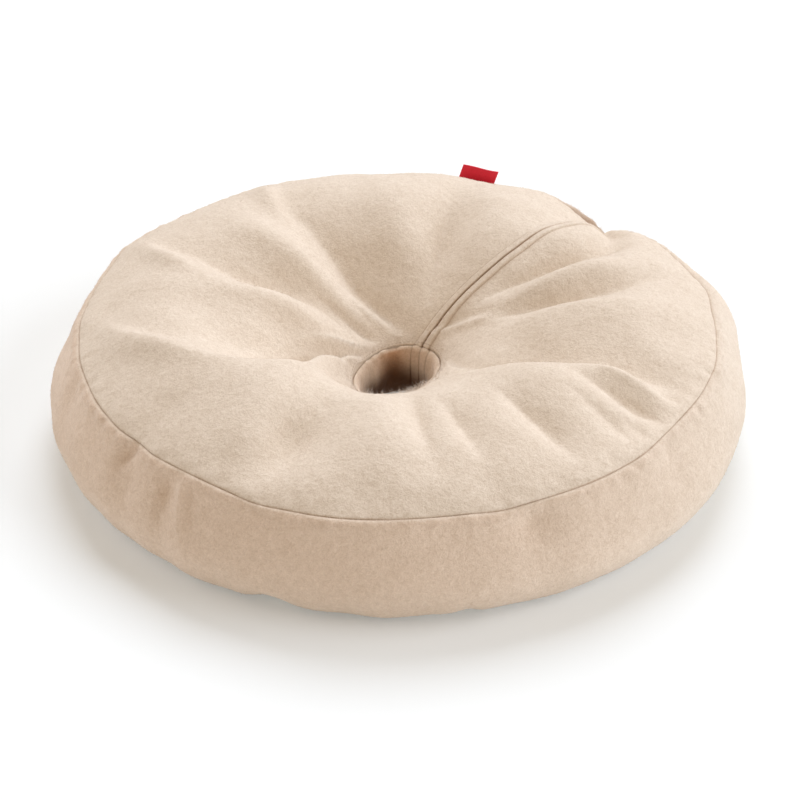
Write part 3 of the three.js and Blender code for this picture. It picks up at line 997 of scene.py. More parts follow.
@dataclass
class Cover:
    """Stuffed cover: top panel, side band and base as one closed cushion.

    Depths, widths and reaches are in millimetres; rim_from, slit_shallows, closing_end, closing_fade and
    closing_pales are shares of the way from the hole to the rim; lift_ends are shares of the bulge's
    height; shades and losses are shares too. map_span is the width of the cover's map in millimetres,
    and the other places and lengths on it are shares of that.
    """

    form: BedForm
    finish: NappedCloth
    columns: int = 640
    finest_step: float = 0.35
    step_growth: float = 0.3
    step_snap: float = 1.5
    step_limits: tuple[float, float, float, float] = (7.0, 3.5, 4.2, 15.0)
    rim_from: float = 0.5
    lift_ends: Pair = (0.75, 0.1)
    seam_depth: float = 1.4
    ring_depth: float = 0.4
    foot_depth: float = 1.8
    seam_width: float = 0.95
    seam_core: float = 0.7
    seam_flank: float = 5.0
    seam_line: float = 0.55
    seam_shade: float = 0.65
    # Strength of the painted shade along the ring seam, by bearing round the hole.
    ring_shade: Dent = Dent(40.0, 60.0, 0.5)
    ring_shade_fade: float = 25.0
    ring_front: Dent = Dent(210.0, 28.0, 0.2)
    lip_width: float = 6.2
    lip_rise: float = 1.7
    lip_fall: float = 3.2
    slit_depth: float = 2.4
    slit_width: float = 0.6
    slit_line: float = 1.3
    slit_shallows: Pair = (0.3, 0.7)
    slit_loss: float = 0.75
    stitch_dip: float = 0.8
    stitch_width: float = 0.55
    stitch_line: float = 0.6
    stitch_shade: float = 0.35
    closing_end: float = 0.95
    closing_fade: float = 0.1
    closing_pales: Pair = (0.35, 0.85)
    closing_loss: float = 0.8
    band_puff: float = 1.3
    puff_reach: float = 5.0
    pucker_reach: float = 4.0
    calm: float = 0.8
    calm_reach: float = 12.0
    broad_lumps: Lumps = Lumps(30.0, 80.0, 3, 0.4)
    fine_lumps: Lumps = Lumps(9.0, 22.0, 5, 0.07)
    rim_puckers: Lumps = Lumps(7.0, 16.0, 7, 0.3, 0.15)
    # Painted shade on the cloth's edge at the notch in the rim near bearing 49.
    notch_shade: Dent = Dent(49.0, 6.364, 0.55)
    notch_shade_top: float = 1.5
    notch_shade_band: float = 4.0
    notch_shade_fade: float = 3.0
    # The painted warm shade tint starts a few millimetres below the rim and is left off the band's lit
    # right side.
    lit_side: Dent = Dent(5.0, 60.0, 1.0)
    shade_tint_from: float = 3.0
    map_span: float = 1160.0
    map_margin: float = 0.03
    map_discs: tuple[Pair, Pair] = ((0.25, 0.25), (0.75, 0.25))
    strip_length: float = 0.74
    strip_heights: Pair = (0.54, 0.70)
    wall_length: float = 0.2
    wall_height: float = 0.9
    points: np.ndarray = field(init=False)
    normals: np.ndarray = field(init=False)
    section: Section = field(init=False)
    marks: dict[str, float] = field(init=False)
    offsets: np.ndarray = field(init=False)
    bearing: np.ndarray = field(init=False)
    # Painted shade of every point, and how far the painted warm shade tint shows.
    dark: np.ndarray = field(init=False)
    shade_tint: np.ndarray = field(init=False)

    def _find_marks(self, section: Section) -> dict[str, float]:
        """Where the seams lie along a section."""
        first = {panel: section.along[np.argmax(section.at(panel))] for panel in Panel}
        return {"ring": first[Panel.TOP], "rim": first[Panel.BAND], "foot": first[Panel.BASE]}

    def _off(self, seam: str) -> np.ndarray:
        """Distance of every row from a seam, along the section."""
        return np.abs(self.section.along - self.marks[seam])[:, None]

    def _down(self) -> np.ndarray:
        """Share of the way from the rim seam to the foot seam, for every row."""
        start, stop = self.marks["rim"], self.marks["foot"]
        return ((self.section.along - start) / (stop - start))[:, None]

    def _rows(self) -> None:
        """Chooses the rows: close together at the seams, wider apart between them."""
        fine = self.form.section()
        marks = np.array(list(self._find_marks(fine).values()))
        chosen = [0.0]
        while True:
            here = chosen[-1]
            panel = int(fine.panel[np.searchsorted(fine.along, here)])
            off = np.abs(marks - here).min()
            step = min(self.finest_step + self.step_growth * off, self.step_limits[panel])
            ahead = marks[(marks > here + 1e-6) & (marks < here + self.step_snap * step)]
            here = float(ahead[0]) if len(ahead) else here + step
            if here > fine.along[-1]:
                break
            chosen.append(here)
        along = np.array(chosen)
        pick = np.clip(np.searchsorted(fine.along, along - 1e-9), 0, len(fine.along) - 1)
        r = np.interp(along, fine.along, fine.r)
        z = np.interp(along, fine.along, fine.z)
        self.section = Section(r, z, along, fine.panel[pick])
        self.marks = self._find_marks(self.section)

    def _columns(self) -> None:
        """Chooses the columns: those by the closing keep a set distance from it, on every row."""
        half = np.array(CLOSING_STEPS)
        beside = np.concatenate([-half[:0:-1], half])
        spare = self.columns - len(beside)
        self.offsets = np.append(beside, np.full(spare, FAR_AWAY))
        radius = np.maximum(self.section.r, self.form.top_start[0])[:, None]
        middle = self.form.closing_at(radius)
        degrees = np.degrees(1.0 / radius)
        spread = np.arange(1, spare + 1)[None, :] / (spare + 1)
        near = middle + beside[None, :] * degrees
        rest = middle + half[-1] * degrees + spread * (360.0 - 2 * half[-1] * degrees)
        self.bearing = np.concatenate([near, rest], 1)

    def _even(self) -> np.ndarray:
        """Places the points with the folds of the top and the uneven rim, band and foot.

        Returns:
            Points in millimetres, rows by columns by 3.
        """
        form, section = self.form, self.section
        r, z = section.r[:, None], section.z[:, None]
        top, band = section.column(Panel.TOP), section.column(Panel.BAND)
        upper = ramp(z, form.bulge_height, form.seam_height)
        rim = np.where(top, ramp(form.share(r), self.rim_from, 1.0), band * upper)
        waist = band * np.sin(np.pi * np.clip(self._down(), 0.0, 1.0))
        flat = form.bulge_radius - form.band_reach
        tuck = ramp(r, flat, flat + form.band_reach * math.cos(math.radians(form.foot_seam_angle)))
        low = ramp(z / form.bulge_height, *self.lift_ends)
        foot = np.where(band, low, section.column(Panel.BASE) * tuck)
        lift = top * form.fold_height(self.bearing, r)
        return form.place(self.bearing, r, z, rim, waist, foot, lift)

    def _closing(self) -> np.ndarray:
        """Rise of the closing's two lips, with the slit between them and the dip of each stitch line.

        Returns:
            Height of every point in millimetres.
        """
        share = self.form.share(self.section.r)[:, None]
        away = np.abs(self.offsets)[None, :]
        lips = ease((self.lip_width - away) / self.lip_fall + 0.5)
        dip = lobe((away - self.lip_width) / self.stitch_width)
        slit = lobe(away / self.slit_width) * (1 - self.slit_loss * ramp(share, *self.slit_shallows))
        rise = self.lip_rise * lips - self.slit_depth * slit - self.stitch_dip * dip
        fade = ramp(share, self.closing_end, self.closing_end - self.closing_fade)
        return self.section.column(Panel.TOP) * rise * fade

    def _seams(self) -> tuple[np.ndarray, np.ndarray]:
        """Works out how the sewn-in seams lie and the shade that is painted along them.

        Returns:
            Their depth for every row, and the painted shade along them at every point.
        """
        ring_shading = self.ring_shade
        past = np.abs(turn(self.bearing - ring_shading.at)) - ring_shading.width
        ring = ring_shading.size * (1 - ease(past / self.ring_shade_fade)) + self.ring_front.sized(self.bearing)
        seams = {
            "ring": (self.ring_depth, ring),
            "rim": (self.seam_depth, 1.0),
            "foot": (self.foot_depth, 1.0),
        }
        depth = np.zeros((len(self.section.along), 1))
        dark = np.zeros(self.bearing.shape)
        # Each seam gets a groove and painted shade along it.
        for seam, (size, shade) in seams.items():
            off = self._off(seam)
            core, flank = lobe(off / self.seam_width), lobe(off / self.seam_flank)
            depth += size * (self.seam_core * core + (1 - self.seam_core) * flank)
            dark += shade * lobe(off / (self.seam_line * self.seam_width))
        return depth, np.clip(dark, 0.0, 1.0)

    def _unevenness(self, even: np.ndarray) -> np.ndarray:
        """Works out the lumps, the puckers of the rim and the small folds of the band.

        Args:
            even: Every point without them.

        Returns:
            How far every point is pushed out, in millimetres.
        """
        band = self.section.column(Panel.BAND)
        shown = self.section.column(Panel.TOP) | band
        calm = 1 - self.calm * lobe(self._off("ring") / self.calm_reach)
        push = shown * calm * (self.broad_lumps.at(even) + self.fine_lumps.at(even))
        off = self._off("rim")
        push += shown * hump(off, self.pucker_reach) * self.rim_puckers.at(even)
        push += band * hump(off, self.puff_reach) * self.band_puff
        down = self._down()
        for fold in BAND_FOLDS:
            across = lobe(turn(self.bearing - fold.at - fold.lean * down) / fold.width)
            push += band * fold.rise * swell(down, fold) * across
        return push

    def _shade(self, seams: np.ndarray) -> None:
        """Works out the painted shade of every point and how far the painted warm shade tint shows on the
        band.

        Args:
            seams: The painted shade along the seams.
        """
        top, band = self.section.column(Panel.TOP), self.section.column(Panel.BAND)
        off = self._off("rim")
        away = np.abs(self.offsets)[None, :]
        # Painted shadow in the closing's slit and painted shade in the dips of its stitch lines, fading out
        # towards the rim.
        slit = lobe(away / (self.slit_line * self.slit_width))
        stitch = self.stitch_shade * lobe((away - self.lip_width) / self.stitch_line)
        pales = ramp(self.form.share(self.section.r)[:, None], *self.closing_pales)
        closing = top * (1 - self.closing_loss * pales) * (slit + stitch)
        # Painted shade on the edges of top and band at the rim's notch.
        past = off - np.where(top, self.notch_shade_top, self.notch_shade_band)
        notch_dark = (top | band) * (1 - ease(past / self.notch_shade_fade)) * self.notch_shade.sized(self.bearing)
        # Painted warm shade tint on the band, left off its lit right side.
        self.shade_tint = band * ease(off / self.shade_tint_from) * (1 - self.lit_side.sized(self.bearing))
        self.dark = np.clip(self.seam_shade * seams + notch_dark + closing, 0.0, 1.0)

    def shape(self) -> None:
        """Works out every point of the cover."""
        self._rows()
        self._columns()
        even = self._even()
        depth, seams = self._seams()
        push = self._closing() - depth + self._unevenness(even)
        self.points = even + grid_normals(even) * push[..., None]
        self.points[..., 2] = np.maximum(self.points[..., 2], 0.0)
        self.normals = grid_normals(self.points)
        self._shade(seams)

    def _map_places(self, step: int) -> np.ndarray:
        """Places of face corners on the cover's own map.

        The two discs lie below, the band in two strips above them and the wall of the hole at the top.

        Args:
            step: 0 for the left corners of each column of faces, 1 for the right ones.

        Returns:
            Map places, panels by rows by columns by 2.
        """
        column = np.arange(self.columns)
        corner = column + step
        flat = self.points[:, corner % self.columns, :2] / self.map_span
        top, base = (flat + np.array(middle) for middle in self.map_discs)
        around = corner / self.columns
        along = self.section.along[:, None] / self.map_span
        strip = 2 * column // self.columns
        u = self.map_margin + self.strip_length * (2 * around - strip)
        v = np.array(self.strip_heights)[strip] + along - self.marks["rim"] / self.map_span
        band = np.stack(np.broadcast_arrays(u, v), -1)
        u = self.map_margin + self.wall_length * around
        wall = np.stack(np.broadcast_arrays(u, self.wall_height + along), -1)
        return np.stack([wall, top, band, base])

    def build(self) -> bpy.types.Object:
        """Makes the cover.

        Returns:
            The piece that stands for the cushion.
        """
        self.shape()
        panel = self.section.panel
        row = np.arange(len(panel))
        below = (row + 1) % len(row)
        faces = ring_faces(len(row), self.columns, True)
        left, right = self._map_places(0), self._map_places(1)
        places = (left[panel, row], left[panel, below], right[panel, below], right[panel, row])
        corners = np.stack(places, 2)
        piece = mesh_piece("cushion_cover", self.points, faces, corners, self.finish.material())
        # The seam attribute carries the painted shade; the next one carries the painted warm shade tint.
        carry(piece, "seam", self.dark)
        carry(piece, "shade_tint", self.shade_tint)
        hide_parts("donut_cushion")
        return piece


@dataclass
class Sleeve:
    """Tube of the same cloth that is sewn through the middle.

    seams are the places of its creases beside the closing, and slack_ends and shade_tint_ends are heights, in
    millimetres; its shadow starts at dark_from and climbs higher by dark_rise on the far side.
    """

    form: BedForm
    finish: NappedCloth
    columns: int = 300
    seams: tuple[float, float, float] = (-6.2, 0.0, 6.2)
    crease_depth: float = 0.45
    crease_width: float = 0.7
    crease_shade: float = 0.3
    crease_line: float = 0.5
    slack_lumps: Lumps = Lumps(16.0, 34.0, 21, 1.1, 0.35)
    slack_ends: Pair = (43.0, 25.0)
    small_lumps: Lumps = Lumps(6.0, 14.0, 22, 0.25, 0.5)
    far_side: Dent = Dent(97.0, 24.0, 1.0)
    shadow: float = 0.96
    dark_from: float = 12.0
    dark_rise: float = 13.0
    dark_fade: float = 26.0
    shade_tint_ends: Pair = (49.0, 46.0)
    shade_tint_near: float = 0.25
    flat: Pair = (0.200, 0.043)

    def build(self) -> bpy.types.Object:
        """Makes the sleeve.

        Returns:
            The piece that stands for the centre tube.
        """
        form = self.form
        clear = form.sleeve_line(-form.cloth / 2)
        line = np.vstack([clear, form.sleeve_line(form.cloth / 2)[::-1]])
        rows = len(line)
        r, z = line[:, :1], line[:, 1:]
        around = np.arange(self.columns) * (360.0 / self.columns)
        bearing = np.broadcast_to(around, (rows, self.columns))
        even = form.place(bearing, r, z)
        away = np.radians(turn(bearing - form.closing_at(form.top_start[0]))) * form.hole_radius
        far = self.far_side.sized(bearing)
        push = ramp(z, *self.slack_ends) * self.slack_lumps.at(even) + self.small_lumps.at(even)
        dark = self.shadow * (1 - ease((z - self.dark_from - self.dark_rise * far) / self.dark_fade))
        for seam in self.seams:
            push -= self.crease_depth * lobe((away - seam) / self.crease_width)
            dark += self.crease_shade * lobe((away - seam) / self.crease_line)
        # Painted warm shade tint, deeper in the hole and stronger on its far side.
        shade_tint = ramp(z, *self.shade_tint_ends) * (self.shade_tint_near + (1 - self.shade_tint_near) * far)
        inside = (np.arange(rows) < len(clear))[:, None]
        points = even + grid_normals(even) * (push * inside)[..., None]
        faces = ring_faces(rows, self.columns, True)
        u, v = np.meshgrid(np.arange(self.columns + 1) / self.columns, np.arange(rows + 1) / rows)
        corners = cell_corners(np.stack([u, v], -1))
        piece = mesh_piece("centre_sleeve", points, faces, corners, self.finish.material())
        # The seam attribute carries the painted shadow in the hole and the painted shade of the creases.
        carry(piece, "seam", np.clip(dark, 0.0, 1.0))
        carry(piece, "shade_tint", shade_tint)
        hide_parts("centre_tube")
        return piece


@dataclass
class Tab:
    """Bare ribbon, folded over and sewn into the rim seam."""

    form: BedForm
    finish: RibbonWeave
    bearing: float = 74.4
    width: float = 31.0
    height: float = 13.5
    ply: float = 0.45
    fold_radius: float = 0.5
    lean: float = 4.0
    foot_below_seam: float = 2.0
    columns: int = 32
    side_steps: int = 10
    arc_steps: int = 8
    cup: float = 0.7
    wave: float = 0.35
    wave_turn: float = 7.0
    map_walls: Pair = (0.05, 0.95)
    map_ends: Pair = (0.04, 0.96)
    flat: Pair = (0.031, 0.027)

    def _fold_line(self, offset: float) -> np.ndarray:
        """Section of the folded ribbon: up one ply, over the fold and down the other.

        Args:
            offset: Sideways distance from the middle of the cloth, positive to the outside.

        Returns:
            How far out and how high each point is.
        """
        radius = self.fold_radius + offset
        top = self.height - self.fold_radius - self.ply / 2
        rise = np.linspace(0.0, top, self.side_steps)
        angle = np.radians(np.linspace(180.0, 0.0, self.arc_steps)[1:-1])
        up = np.stack([np.full_like(rise, -radius), rise], -1)
        over = np.stack([radius * np.cos(angle), top + radius * np.sin(angle)], -1)
        down = np.stack([np.full_like(rise, radius), rise[::-1]], -1)
        return np.vstack([up, over, down])

    def build(self) -> bpy.types.Object:
        """Makes the tab.

        Returns:
            The piece that stands for the label tab.
        """
        form = self.form
        outside, inside = self._fold_line(self.ply / 2), self._fold_line(-self.ply / 2)
        line = np.vstack([outside, inside[::-1]])
        across = np.linspace(0.5, -0.5, self.columns)
        bearing = self.bearing + np.degrees(across * self.width / form.seam_radius)
        foot = form.place(bearing, form.seam_radius, form.seam_height - self.foot_below_seam, rim=1.0)
        angle = np.radians(bearing)
        outward = np.stack([np.cos(angle), np.sin(angle), np.zeros_like(angle)], -1)
        clockwise = np.stack([np.sin(angle), -np.cos(angle), np.zeros_like(angle)], -1)
        share = line[:, 1] / self.height
        side = across[:, None]
        curl = (self.cup * (2 * side) ** 2 + self.wave * np.sin(self.wave_turn * side)) * share
        points = foot[:, None] + outward[:, None] * (line[:, 0] + curl)[..., None]
        points = points + clockwise[:, None] * (self.lean * share)[None, :, None]
        points[..., 2] += line[:, 1]
        count = len(line)
        half = count // 2
        first = np.arange(half - 1)
        cap = np.stack([first, first + 1, count - 2 - first, count - 1 - first], -1)
        caps = np.vstack([cap, cap[:, ::-1] + count * (self.columns - 1)])
        faces = np.vstack([ring_faces(self.columns, count, False), caps])
        u = np.arange(count + 1) / count
        v = np.linspace(*self.map_walls, self.columns)
        walls = cell_corners(np.stack(np.meshgrid(u, v), -1))
        ends = []
        for low, high, order in ((0.0, self.map_ends[0], 1), (self.map_ends[1], 1.0, -1)):
            left, right = u[first], u[first + 1]
            low_row, high_row = np.full_like(left, low), np.full_like(left, high)
            places = [(left, low_row), (right, low_row), (right, high_row), (left, high_row)]
            ends.append(np.stack([np.stack(place, -1) for place in places[::order]], 1))
        corners = np.vstack([part.reshape(-1, 2) for part in (walls, *ends)])
        piece = mesh_piece("label_ribbon", points, faces, corners, self.finish.material())
        weave = np.zeros((self.columns, count, 3))
        weave[..., 0] = side * self.width
        weave[..., 1] = lengths(line)
        carry(piece, "weave", weave)
        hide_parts("label_tab")
        return piece


@dataclass
class Stitching:
    """Sewing thread that shows: two lines beside the closing and a ring round the hole."""

    cover: Cover
    finish: SewingThread
    pitch: float = 3.2
    length: float = 2.5
    radius: float = 0.27
    sunk: float = 0.05
    dive: float = 0.3
    sides: int = 6
    start: float = 0.02
    left_stop: float = 0.86
    right_stop: float = 0.62
    ring_from_seam: float = 3.0

    def _runs(self) -> list[tuple[np.ndarray, np.ndarray]]:
        """Lines that are stitched.

        Returns:
            Points and normals along each line.
        """
        cover = self.cover
        share = cover.form.share(cover.section.r)
        on_top = cover.section.at(Panel.TOP)
        runs = []
        for side, stop in ((1.0, self.left_stop), (-1.0, self.right_stop)):
            column = int(np.argmin(np.abs(cover.offsets - side * cover.lip_width)))
            rows = on_top & (share > self.start) & (share < stop)
            runs.append((cover.points[rows, column], cover.normals[rows, column]))
        ring = cover.section.along[np.argmax(on_top)] + self.ring_from_seam
        row = int(np.argmin(np.abs(cover.section.along - ring)))
        around = np.append(np.arange(cover.columns), 0)
        runs.append((cover.points[row, around], cover.normals[row, around]))
        return runs

    def _stitches(self, points: np.ndarray, normals: np.ndarray) -> np.ndarray:
        """Thread points of the stitches along one line.

        Args:
            points: Points of the line.
            normals: Normals of the cloth there.

        Returns:
            Points, stitches by rings by sides by 3.
        """
        along = lengths(points)
        count = int(along[-1] / self.pitch)
        middle = (np.arange(count) + 0.5) * along[-1] / count

        def at(values: np.ndarray, place: np.ndarray) -> np.ndarray:
            """Values of the line at some lengths along it."""
            return np.stack([np.interp(place, along, values[:, k]) for k in range(3)], -1)

        up = unit(at(normals, middle))
        half = 0.5 * self.length
        ahead = unit(at(points, middle + 0.5 * half) - at(points, middle - 0.5 * half))
        beside = unit(np.cross(up, ahead))
        place, girth, drop = np.array(STITCH_PROFILE).T[..., None]
        girth = girth * self.radius
        drop = drop * self.dive + self.sunk
        angle = np.arange(self.sides) * (2 * math.pi / self.sides)
        centre = at(points, middle)[:, None] + ahead[:, None] * (place * half) - up[:, None] * drop
        round_beside = (girth * np.cos(angle))[None, ..., None] * beside[:, None, None]
        round_up = (girth * np.sin(angle))[None, ..., None] * up[:, None, None]
        return centre[:, :, None] + round_beside + round_up

    def build(self) -> bpy.types.Object:
        """Makes all the stitches as one piece.

        Returns:
            The piece.
        """
        stitches = np.concatenate([self._stitches(*run) for run in self._runs()])
        count, rings, sides = stitches.shape[:3]
        tube = ring_faces(rings, sides, False)
        first = np.array([[0, 1, 2, 3], [0, 3, 4, 5]])
        one = np.vstack([tube, first, first[:, ::-1] + sides * (rings - 1)])
        faces = (one[None] + (np.arange(count) * rings * sides)[:, None, None]).reshape(-1, 4)
        ring, side = one // sides / (rings - 1), one % sides / sides
        side[: len(tube), 2:] = np.where(side[: len(tube), 2:] == 0, 1.0, side[: len(tube), 2:])
        shape = np.stack([side, ring], -1).reshape(-1, 2)
        corners = map_cells(count, shape)
        piece = mesh_piece("stitching", stitches, faces, corners, self.finish.material())
        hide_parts("donut_cushion")
        return piece


class PileZone(NamedTuple):
    """Area of the cover that gets fibres.

    low and high are lengths along the section from the panel's first row; at and reach are the middle
    bearing and half-width in degrees; length and width are a fibre's own, in millimetres; stand is how
    steeply the fibres rise; feather is the share of the area over which they thin out to its edges.
    """

    panel: Panel
    low: float
    high: float
    at: float
    reach: float
    count: int
    length: float
    stand: float
    width: float = 0.16
    feather: float = 0.001


TOP_PILE = (
    PileZone(Panel.TOP, 0.0, 400.0, 0.0, 180.0, 56000, 2.6, 0.35),
    PileZone(Panel.TOP, 2.0, 60.0, 266.0, 42.0, 700, 6.5, 1.2, 0.2, 0.5),
    PileZone(Panel.TOP, 0.0, 8.0, 236.0, 30.0, 150, 7.0, 0.8, 0.22, 0.5),
    PileZone(Panel.TOP, 0.0, 16.0, 262.0, 32.0, 150, 8.0, 1.2, 0.22, 0.5),
    PileZone(Panel.TOP, 0.0, 9.0, 0.0, 180.0, 1500, 3.5, 0.7),
)

BAND_PILE = (
    PileZone(Panel.BAND, 0.0, 200.0, 0.0, 180.0, 50000, 2.4, 0.35),
    PileZone(Panel.BAND, 0.0, 7.0, 0.0, 180.0, 5000, 2.6, 0.6),
    PileZone(Panel.BAND, 0.0, 12.0, 46.0, 12.0, 900, 3.6, 0.9, 0.16, 0.5),
)


@dataclass
class Pile:
    """Loose fibres of the nap, lying at random and standing a little off the cloth."""

    cover: Cover
    finish: PileFibre
    name: str
    zones: tuple[PileZone, ...]
    seed: int
    root_depth: float = 0.25
    max_roll: float = 0.9
    stand_range: Pair = (0.3, 1.5)
    length_range: Pair = (0.5, 1.4)
    bend_at: float = 0.55
    bend: float = 0.5
    least_rise: float = 0.1
    taper: float = 0.7

    def _roots(self, zone: PileZone, rng: np.random.Generator) -> tuple[np.ndarray, np.ndarray]:
        """Chooses random roots for a zone's fibres.

        Args:
            zone: The zone.
            rng: Source of the random draws.

        Returns:
            Root points and the normals of the cloth there.
        """
        cover = self.cover
        section = cover.section
        points, normals = cover.points, cover.normals
        rows, columns = points.shape[:2]
        following = np.append(np.arange(1, rows), 0)
        right = np.append(np.arange(1, columns), 0)
        down = points[following] - points
        across = points[:, right] - points
        area = np.linalg.norm(np.cross(down, across), axis=-1)
        start = section.along[np.argmax(section.at(zone.panel))]
        off = section.along - start
        edge = zone.feather * (zone.high - zone.low)
        inside = section.at(zone.panel) * ease((off - zone.low) / edge) * ease((zone.high - off) / edge)
        bearing = np.degrees(np.arctan2(points[..., 1], points[..., 0]))
        aside = zone.reach - np.abs(turn(bearing - zone.at))
        chance = area * inside[:, None] * ease(aside / (zone.feather * zone.reach))
        total = np.cumsum(chance.ravel())
        pick = np.searchsorted(total, rng.uniform(0.0, total[-1], zone.count))
        row, column = np.unravel_index(pick, area.shape)
        u, v = rng.uniform(size=(2, zone.count, 1))
        root = points[row, column] + u * down[row, column] + v * across[row, column]
        return root, unit(normals[row, column] * (1 - u) + normals[following[row], column] * u)

    def _blades(self, zone: PileZone, rng: np.random.Generator) -> tuple[np.ndarray, np.ndarray]:
        """Makes the tapered fibres of a zone.

        Args:
            zone: The zone.
            rng: Source of the random draws.

        Returns:
            Five points for each fibre, and for each of them the normal of the cloth below.
        """
        root, normal = self._roots(zone, rng)
        count = len(root)
        flat = unit(np.cross(normal, unit(rng.normal(size=(count, 3)))))
        stand = zone.stand * rng.uniform(*self.stand_range, (count, 1))
        length = zone.length * rng.uniform(*self.length_range, (count, 1))
        heading = unit(flat + stand * normal)
        droop = unit(heading + self.bend * unit(rng.normal(size=(count, 3))))
        rise = (droop * normal).sum(-1, keepdims=True)
        droop = unit(droop + np.maximum(0.0, self.least_rise - rise) * normal)
        roll = rng.uniform(-self.max_roll, self.max_roll, (count, 1))
        side = unit(np.cross(heading, normal))
        side = unit(side * np.cos(roll) + np.cross(heading, side) * np.sin(roll)) * (0.5 * zone.width)
        base = root - normal * self.root_depth
        middle = base + heading * (self.bend_at * length)
        tip = middle + droop * ((1 - self.bend_at) * length)
        thin = self.taper * side
        blade = np.stack([base - side, base + side, middle + thin, middle - thin, tip], 1)
        return blade, np.repeat(normal[:, None], 5, 1)

    def build(self) -> bpy.types.Object:
        """Makes the fibres of all the zones as one piece.

        Returns:
            The piece.
        """
        rng = np.random.default_rng(self.seed)
        parts = [self._blades(zone, rng) for zone in self.zones]
        blades = np.concatenate([part[0] for part in parts])
        normals = np.concatenate([part[1] for part in parts]).reshape(-1, 3)
        count = len(blades)
        start = (np.arange(count) * 5)[:, None]
        faces = []
        for quad, tip in zip((start + [0, 1, 2, 3]).tolist(), (start + [3, 2, 4]).tolist()):
            faces += [quad, tip]
        shape = [(0.0, 0.0), (1.0, 0.0), (1.0, 0.5), (0.0, 0.5), (0.0, 0.5), (1.0, 0.5), (0.5, 1.0)]
        corners = map_cells(count, np.array(shape))
        piece = mesh_piece(self.name, blades, faces, corners, self.finish.material())
        piece.data.normals_split_custom_set_from_vertices(normals.tolist())
        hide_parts("donut_cushion")
        return piece


class Lamp(NamedTuple):
    """Large soft light far away: bearing, degrees above the floor, strength and width in degrees."""

    name: str
    bearing: float
    height: float
    power: float
    spread: float


LAMPS = (
    Lamp("right_light", 352.0, 25.0, 1.78, 50.0),
    Lamp("left_light", 174.0, 26.0, 0.76, 60.0),
    Lamp("back_light", 85.0, 46.0, 2.0, 40.0),
)


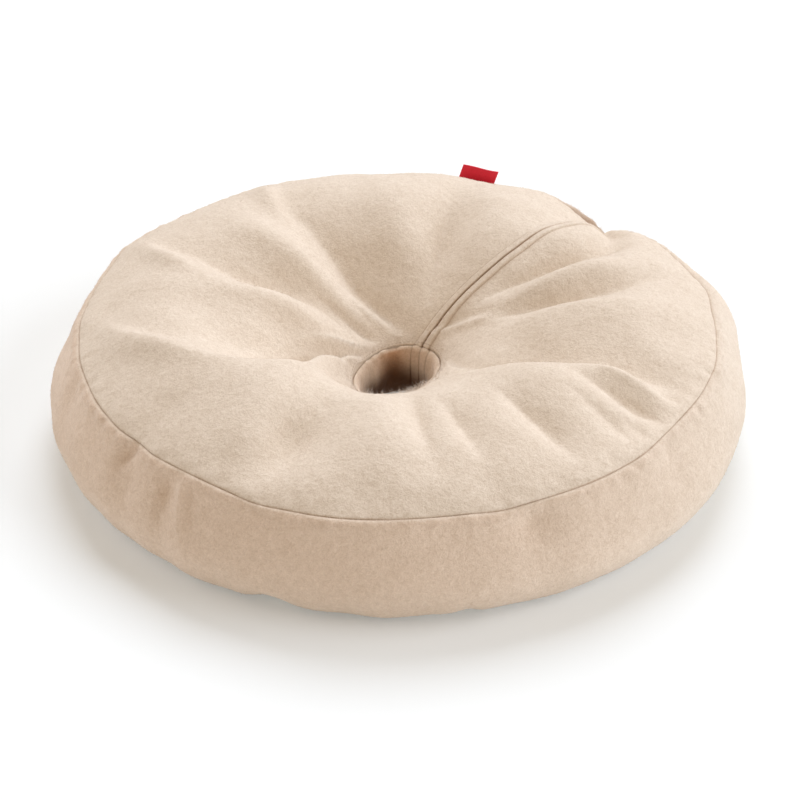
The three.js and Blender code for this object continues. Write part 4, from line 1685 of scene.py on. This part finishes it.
@dataclass
class Studio:
    """Pale floor, soft light and the camera at the photograph's viewing angle, in metres and degrees."""

    finish: StudioFloor
    floor_reach: float = 7.0
    floor_points: int = 9
    room_colour: Colour = (1.0, 0.75, 0.48)
    room_strength: float = 0.39
    lamp_tint: Colour = (0.93, 1.0, 1.12)
    lamp_distance: float = 3.0
    camera_place: Place = (0.0, -1.8254, 1.2555)
    pitch: float = 33.93
    aim_right: float = 0.000726
    aim_up: float = -0.00261
    lens: float = 124.02
    sensor: float = 36.0
    clip: Pair = (0.05, 40.0)

    def floor(self) -> None:
        """Lays the floor."""
        mesh = bpy.data.meshes.new("floor")
        count = self.floor_points
        steps = np.linspace(-self.floor_reach, self.floor_reach, count)
        x, y = np.meshgrid(steps, steps)
        points = np.stack([x, y, np.zeros_like(x)], -1).reshape(-1, 3)
        index = np.arange(count * count).reshape(count, count)
        quads = np.stack([index[:-1, :-1], index[:-1, 1:], index[1:, 1:], index[1:, :-1]], -1)
        mesh.from_pydata(points.tolist(), [], quads.reshape(-1, 4).tolist())
        mesh.materials.append(self.finish.material())
        link("floor", mesh)

    def hang(self, lamp: Lamp) -> None:
        """Hangs a lamp.

        Args:
            lamp: Its place, strength and width.
        """
        light = bpy.data.lights.new(lamp.name, "SUN")
        light.energy = lamp.power
        light.angle = math.radians(lamp.spread)
        light.color = self.lamp_tint
        side, rise = math.radians(lamp.bearing), math.radians(lamp.height)
        flat = math.cos(rise)
        towards = Vector((math.cos(side) * flat, math.sin(side) * flat, math.sin(rise)))
        hung = link(lamp.name, light)
        hung.rotation_euler = towards.to_track_quat("Z", "Y").to_euler()
        hung.location = towards * self.lamp_distance

    def light(self) -> None:
        """Sets the soft room light and the lamps."""
        world = bpy.data.worlds.new("room")
        world.use_nodes = True
        room = world.node_tree.nodes["Background"]
        room.inputs["Color"].default_value = (*self.room_colour, 1.0)
        room.inputs["Strength"].default_value = self.room_strength
        bpy.context.scene.world = world
        for lamp in LAMPS:
            self.hang(lamp)

    def camera(self) -> None:
        """Places the camera."""
        pitch = math.radians(self.pitch)
        ahead = Vector((0.0, math.cos(pitch), -math.sin(pitch)))
        up = Vector((0.0, math.sin(pitch), math.cos(pitch)))
        aim = ahead + Vector((self.aim_right, 0.0, 0.0)) + up * self.aim_up
        data = bpy.data.cameras.new("camera")
        data.lens = self.lens
        data.sensor_width = self.sensor
        data.clip_start, data.clip_end = self.clip
        camera = link("camera", data)
        camera.location = self.camera_place
        camera.rotation_euler = aim.to_track_quat("-Z", "Y").to_euler()
        bpy.context.scene.camera = camera

    def build(self) -> None:
        """Sets up the whole studio."""
        bpy.context.scene.view_settings.view_transform = "Standard"
        self.floor()
        self.light()
        self.camera()


def main() -> None:
    """Builds the pieces in order and reports each one."""
    logging.basicConfig(level=logging.INFO, format="%(message)s")
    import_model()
    Studio(StudioFloor("floor_white", (0.825, 0.85, 0.855), (0.805, 0.83, 0.835))).build()
    form = BedForm()
    nap = NappedCloth(
        "napped_cloth",
        pale=(0.90, 0.805, 0.69),
        deep=(0.63, 0.52, 0.405),
        # Painted shade along the seams, slit and stitch lines and at the rim's notch.
        seam=(0.40, 0.25, 0.16),
        # Painted warm tint of the shaded band.
        shade_tint=(1.0, 0.925, 0.885),
    )
    lining = NappedCloth(
        "sleeve_cloth",
        pale=(0.90, 0.765, 0.63),
        deep=(0.63, 0.495, 0.37),
        # Painted shadow deep in the hole.
        seam=(0.085, 0.031, 0.010),
        # Painted warm shade tint inside the hole.
        shade_tint=(0.66, 0.47, 0.34),
    )
    fibre = PileFibre("pile_fibre", (0.90, 0.80, 0.70), (0.58, 0.46, 0.36))
    thread = SewingThread("sewing_thread", (0.66, 0.53, 0.41), (0.44, 0.33, 0.235))
    ribbon = RibbonWeave("red_ribbon", (0.86, 0.018, 0.05), (0.66, 0.008, 0.03))
    cover = Cover(form, nap)
    builders = (
        cover,
        Sleeve(form, lining),
        Tab(form, ribbon),
        Stitching(cover, thread),
        Pile(cover, fibre, "top_pile", TOP_PILE, 31),
        Pile(cover, fibre, "band_pile", BAND_PILE, 32),
    )
    for builder in builders:
        piece = builder.build()
        LOG.info("%s: %d faces", piece.name, len(piece.data.polygons))


if __name__ == "__main__":
    main()
